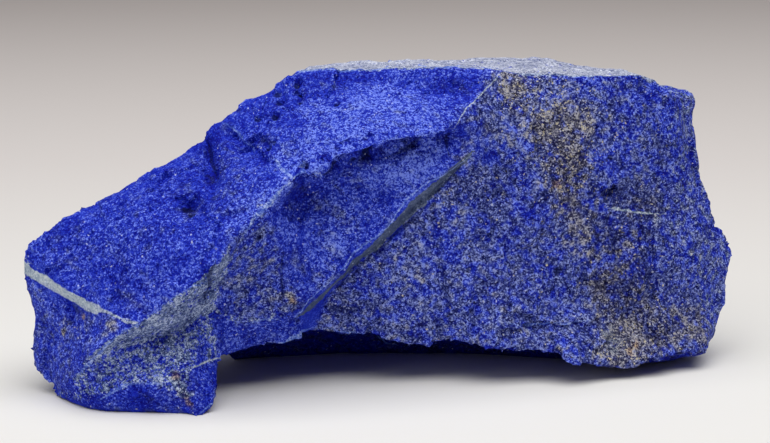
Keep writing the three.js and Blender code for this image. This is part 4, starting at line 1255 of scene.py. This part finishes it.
def rockColour(bench, look, layer, rock, tone):
    # blue rock that turns grey, and grey rock that turns brown
    share = look["greyness"]
    greyness = layer["grey"] + layer["shift"] * share["shift"] + rock["streak"] * share["streak"]
    greyness = greyness + rock["speck"] * (layer["grey"] * share["greySpeck"] + share["speck"])
    greyness = greyness + share["plain"] + layer["gold"] * share["gold"]
    blueToGrey = bench.step(greyness, *share["range"])

    share = look["brownness"]
    brown = rock["mottle"] + layer["shift"] * share["shift"] + layer["gold"] * share["gold"]
    brown = brown + rock["speck"] * share["speck"] + rock["clusters"] * share["cluster"]
    gate = layer["grey"] + layer["gold"] + layer["shift"] * share["gateShift"]
    greyToBrown = bench.step(brown, *share["range"]) * bench.step(gate, *share["gate"])

    blue = bench.ramp(weigh(tone, layer, look["blueTone"]), look["blues"])
    grey = bench.mix(greyToBrown, bench.ramp(tone, look["greys"]), bench.ramp(tone, look["browns"]))
    return bench.mix(blueToGrey, blue, grey)


def coverRock(bench, look, layer, rock, tone, colour):
    # single warm grains, more of them where the rock is gold
    warm = look["warm"]
    warmth = rock["kind"] + layer["gold"] * rock["cluster"] * warm["gold"] + layer["grey"] * warm["grey"]
    colour = bench.lay(colour, warmth, warm, bench.ramp(tone + warm["tone"], look["warms"]))

    film = layer["olive"] + rock["clusters"] * look["film"]["cluster"]
    colour = bench.lay(colour, film, look["film"], bench.ramp(tone, look["films"]))

    # powder is whiter where it lies thick, as on the top face, where that white is partly a painted sheen
    share = look["powder"]
    powder = layer["dust"] + rock["speck"] * share["speck"] + (rock["kind"] - 0.5) * share["kind"]
    powder = bench.step(powder, *share["range"]) * bench.step(layer["dust"], *share["gate"])
    dusty = bench.mix(bench.step(layer["dust"], *share["thick"]), bench.ramp(tone, look["dusts"]),
                      bench.ramp(tone, look["powders"]))
    colour = bench.mix(powder * share["share"], colour, dusty)

    calcite = layer["calcite"] + rock["clusters"] * look["calcite"]["cluster"]
    return bench.lay(colour, calcite, look["calcite"], bench.ramp(tone, look["veins"]))


def markRock(bench, look, layer, rock, tone, colour):
    # thin lines, of which the pale are partly painted highlights and the dark partly painted shade,
    # stains, pits and a few painted glints, all with straying edges
    stray = rock["speck"] * look["strayingSpeck"] + rock["clusters"] * look["strayingCluster"]
    for name, share in look["lineShares"].items():
        off = bench.maths("ABSOLUTE", layer[name + "Side"] + stray * look["lineWander"])
        inside = layer[name + "Half"] - off + stray * look["lineFray"]
        colour = bench.lay(colour, inside, {"range": look["lineEdge"], "share": share},
                           bench.ramp(tone, look[look["lineColours"][name]]))
    colour = bench.lay(colour, layer["rust"] + stray, look["rust"], bench.ramp(tone, look["rusts"]))
    colour = bench.lay(colour, layer["pit"] + stray, look["pit"], bench.ramp(tone, look["darks"]))
    glint = rock["shine"] + layer["gold"] * look["glints"]["gold"]
    return bench.lay(colour, glint, look["glints"], look["glint"])


def grainRelief(bench, look, layer, rock):
    facets = bench.chips(rock["bent"], look["grainSize"] * look["facetSize"]) * look["facetDepth"]
    height = facets + rock["fine"] * look["fineDepth"] + rock["clusters"] * look["clusterDepth"]
    height = height * (1 - layer["calm"] * look["calmShare"]) * mm
    return bench.node("ShaderNodeBump", {}, {"Height": height, "Distance": 1.0, "Strength": 1.0})


def lapisMaterial(look):
    material, bench, shader = newMaterial("lapis")
    layer = paintedLayers(bench)
    rock = rockPatterns(bench, look)
    tone = grainTone(bench, look, layer, rock)
    colour = rockColour(bench, look, layer, rock, tone)
    colour = coverRock(bench, look, layer, rock, tone, colour)
    colour = markRock(bench, look, layer, rock, tone, colour)
    bench.feed(shader.inputs["Base Color"], colour)
    bench.feed(shader.inputs["Roughness"], look["roughness"] + rock["shade"] * look["roughShare"])
    bench.feed(shader.inputs["Normal"], grainRelief(bench, look, layer, rock))
    shader.inputs["Specular IOR Level"].default_value = look["specular"]
    return material


lapis = lapisMaterial(lapisLook)
dressStone(stone, stoneSkin, lapis)
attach(stone, "root")
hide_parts("lapis_stone")
print("stage 4: the stone is broken, cut and painted")
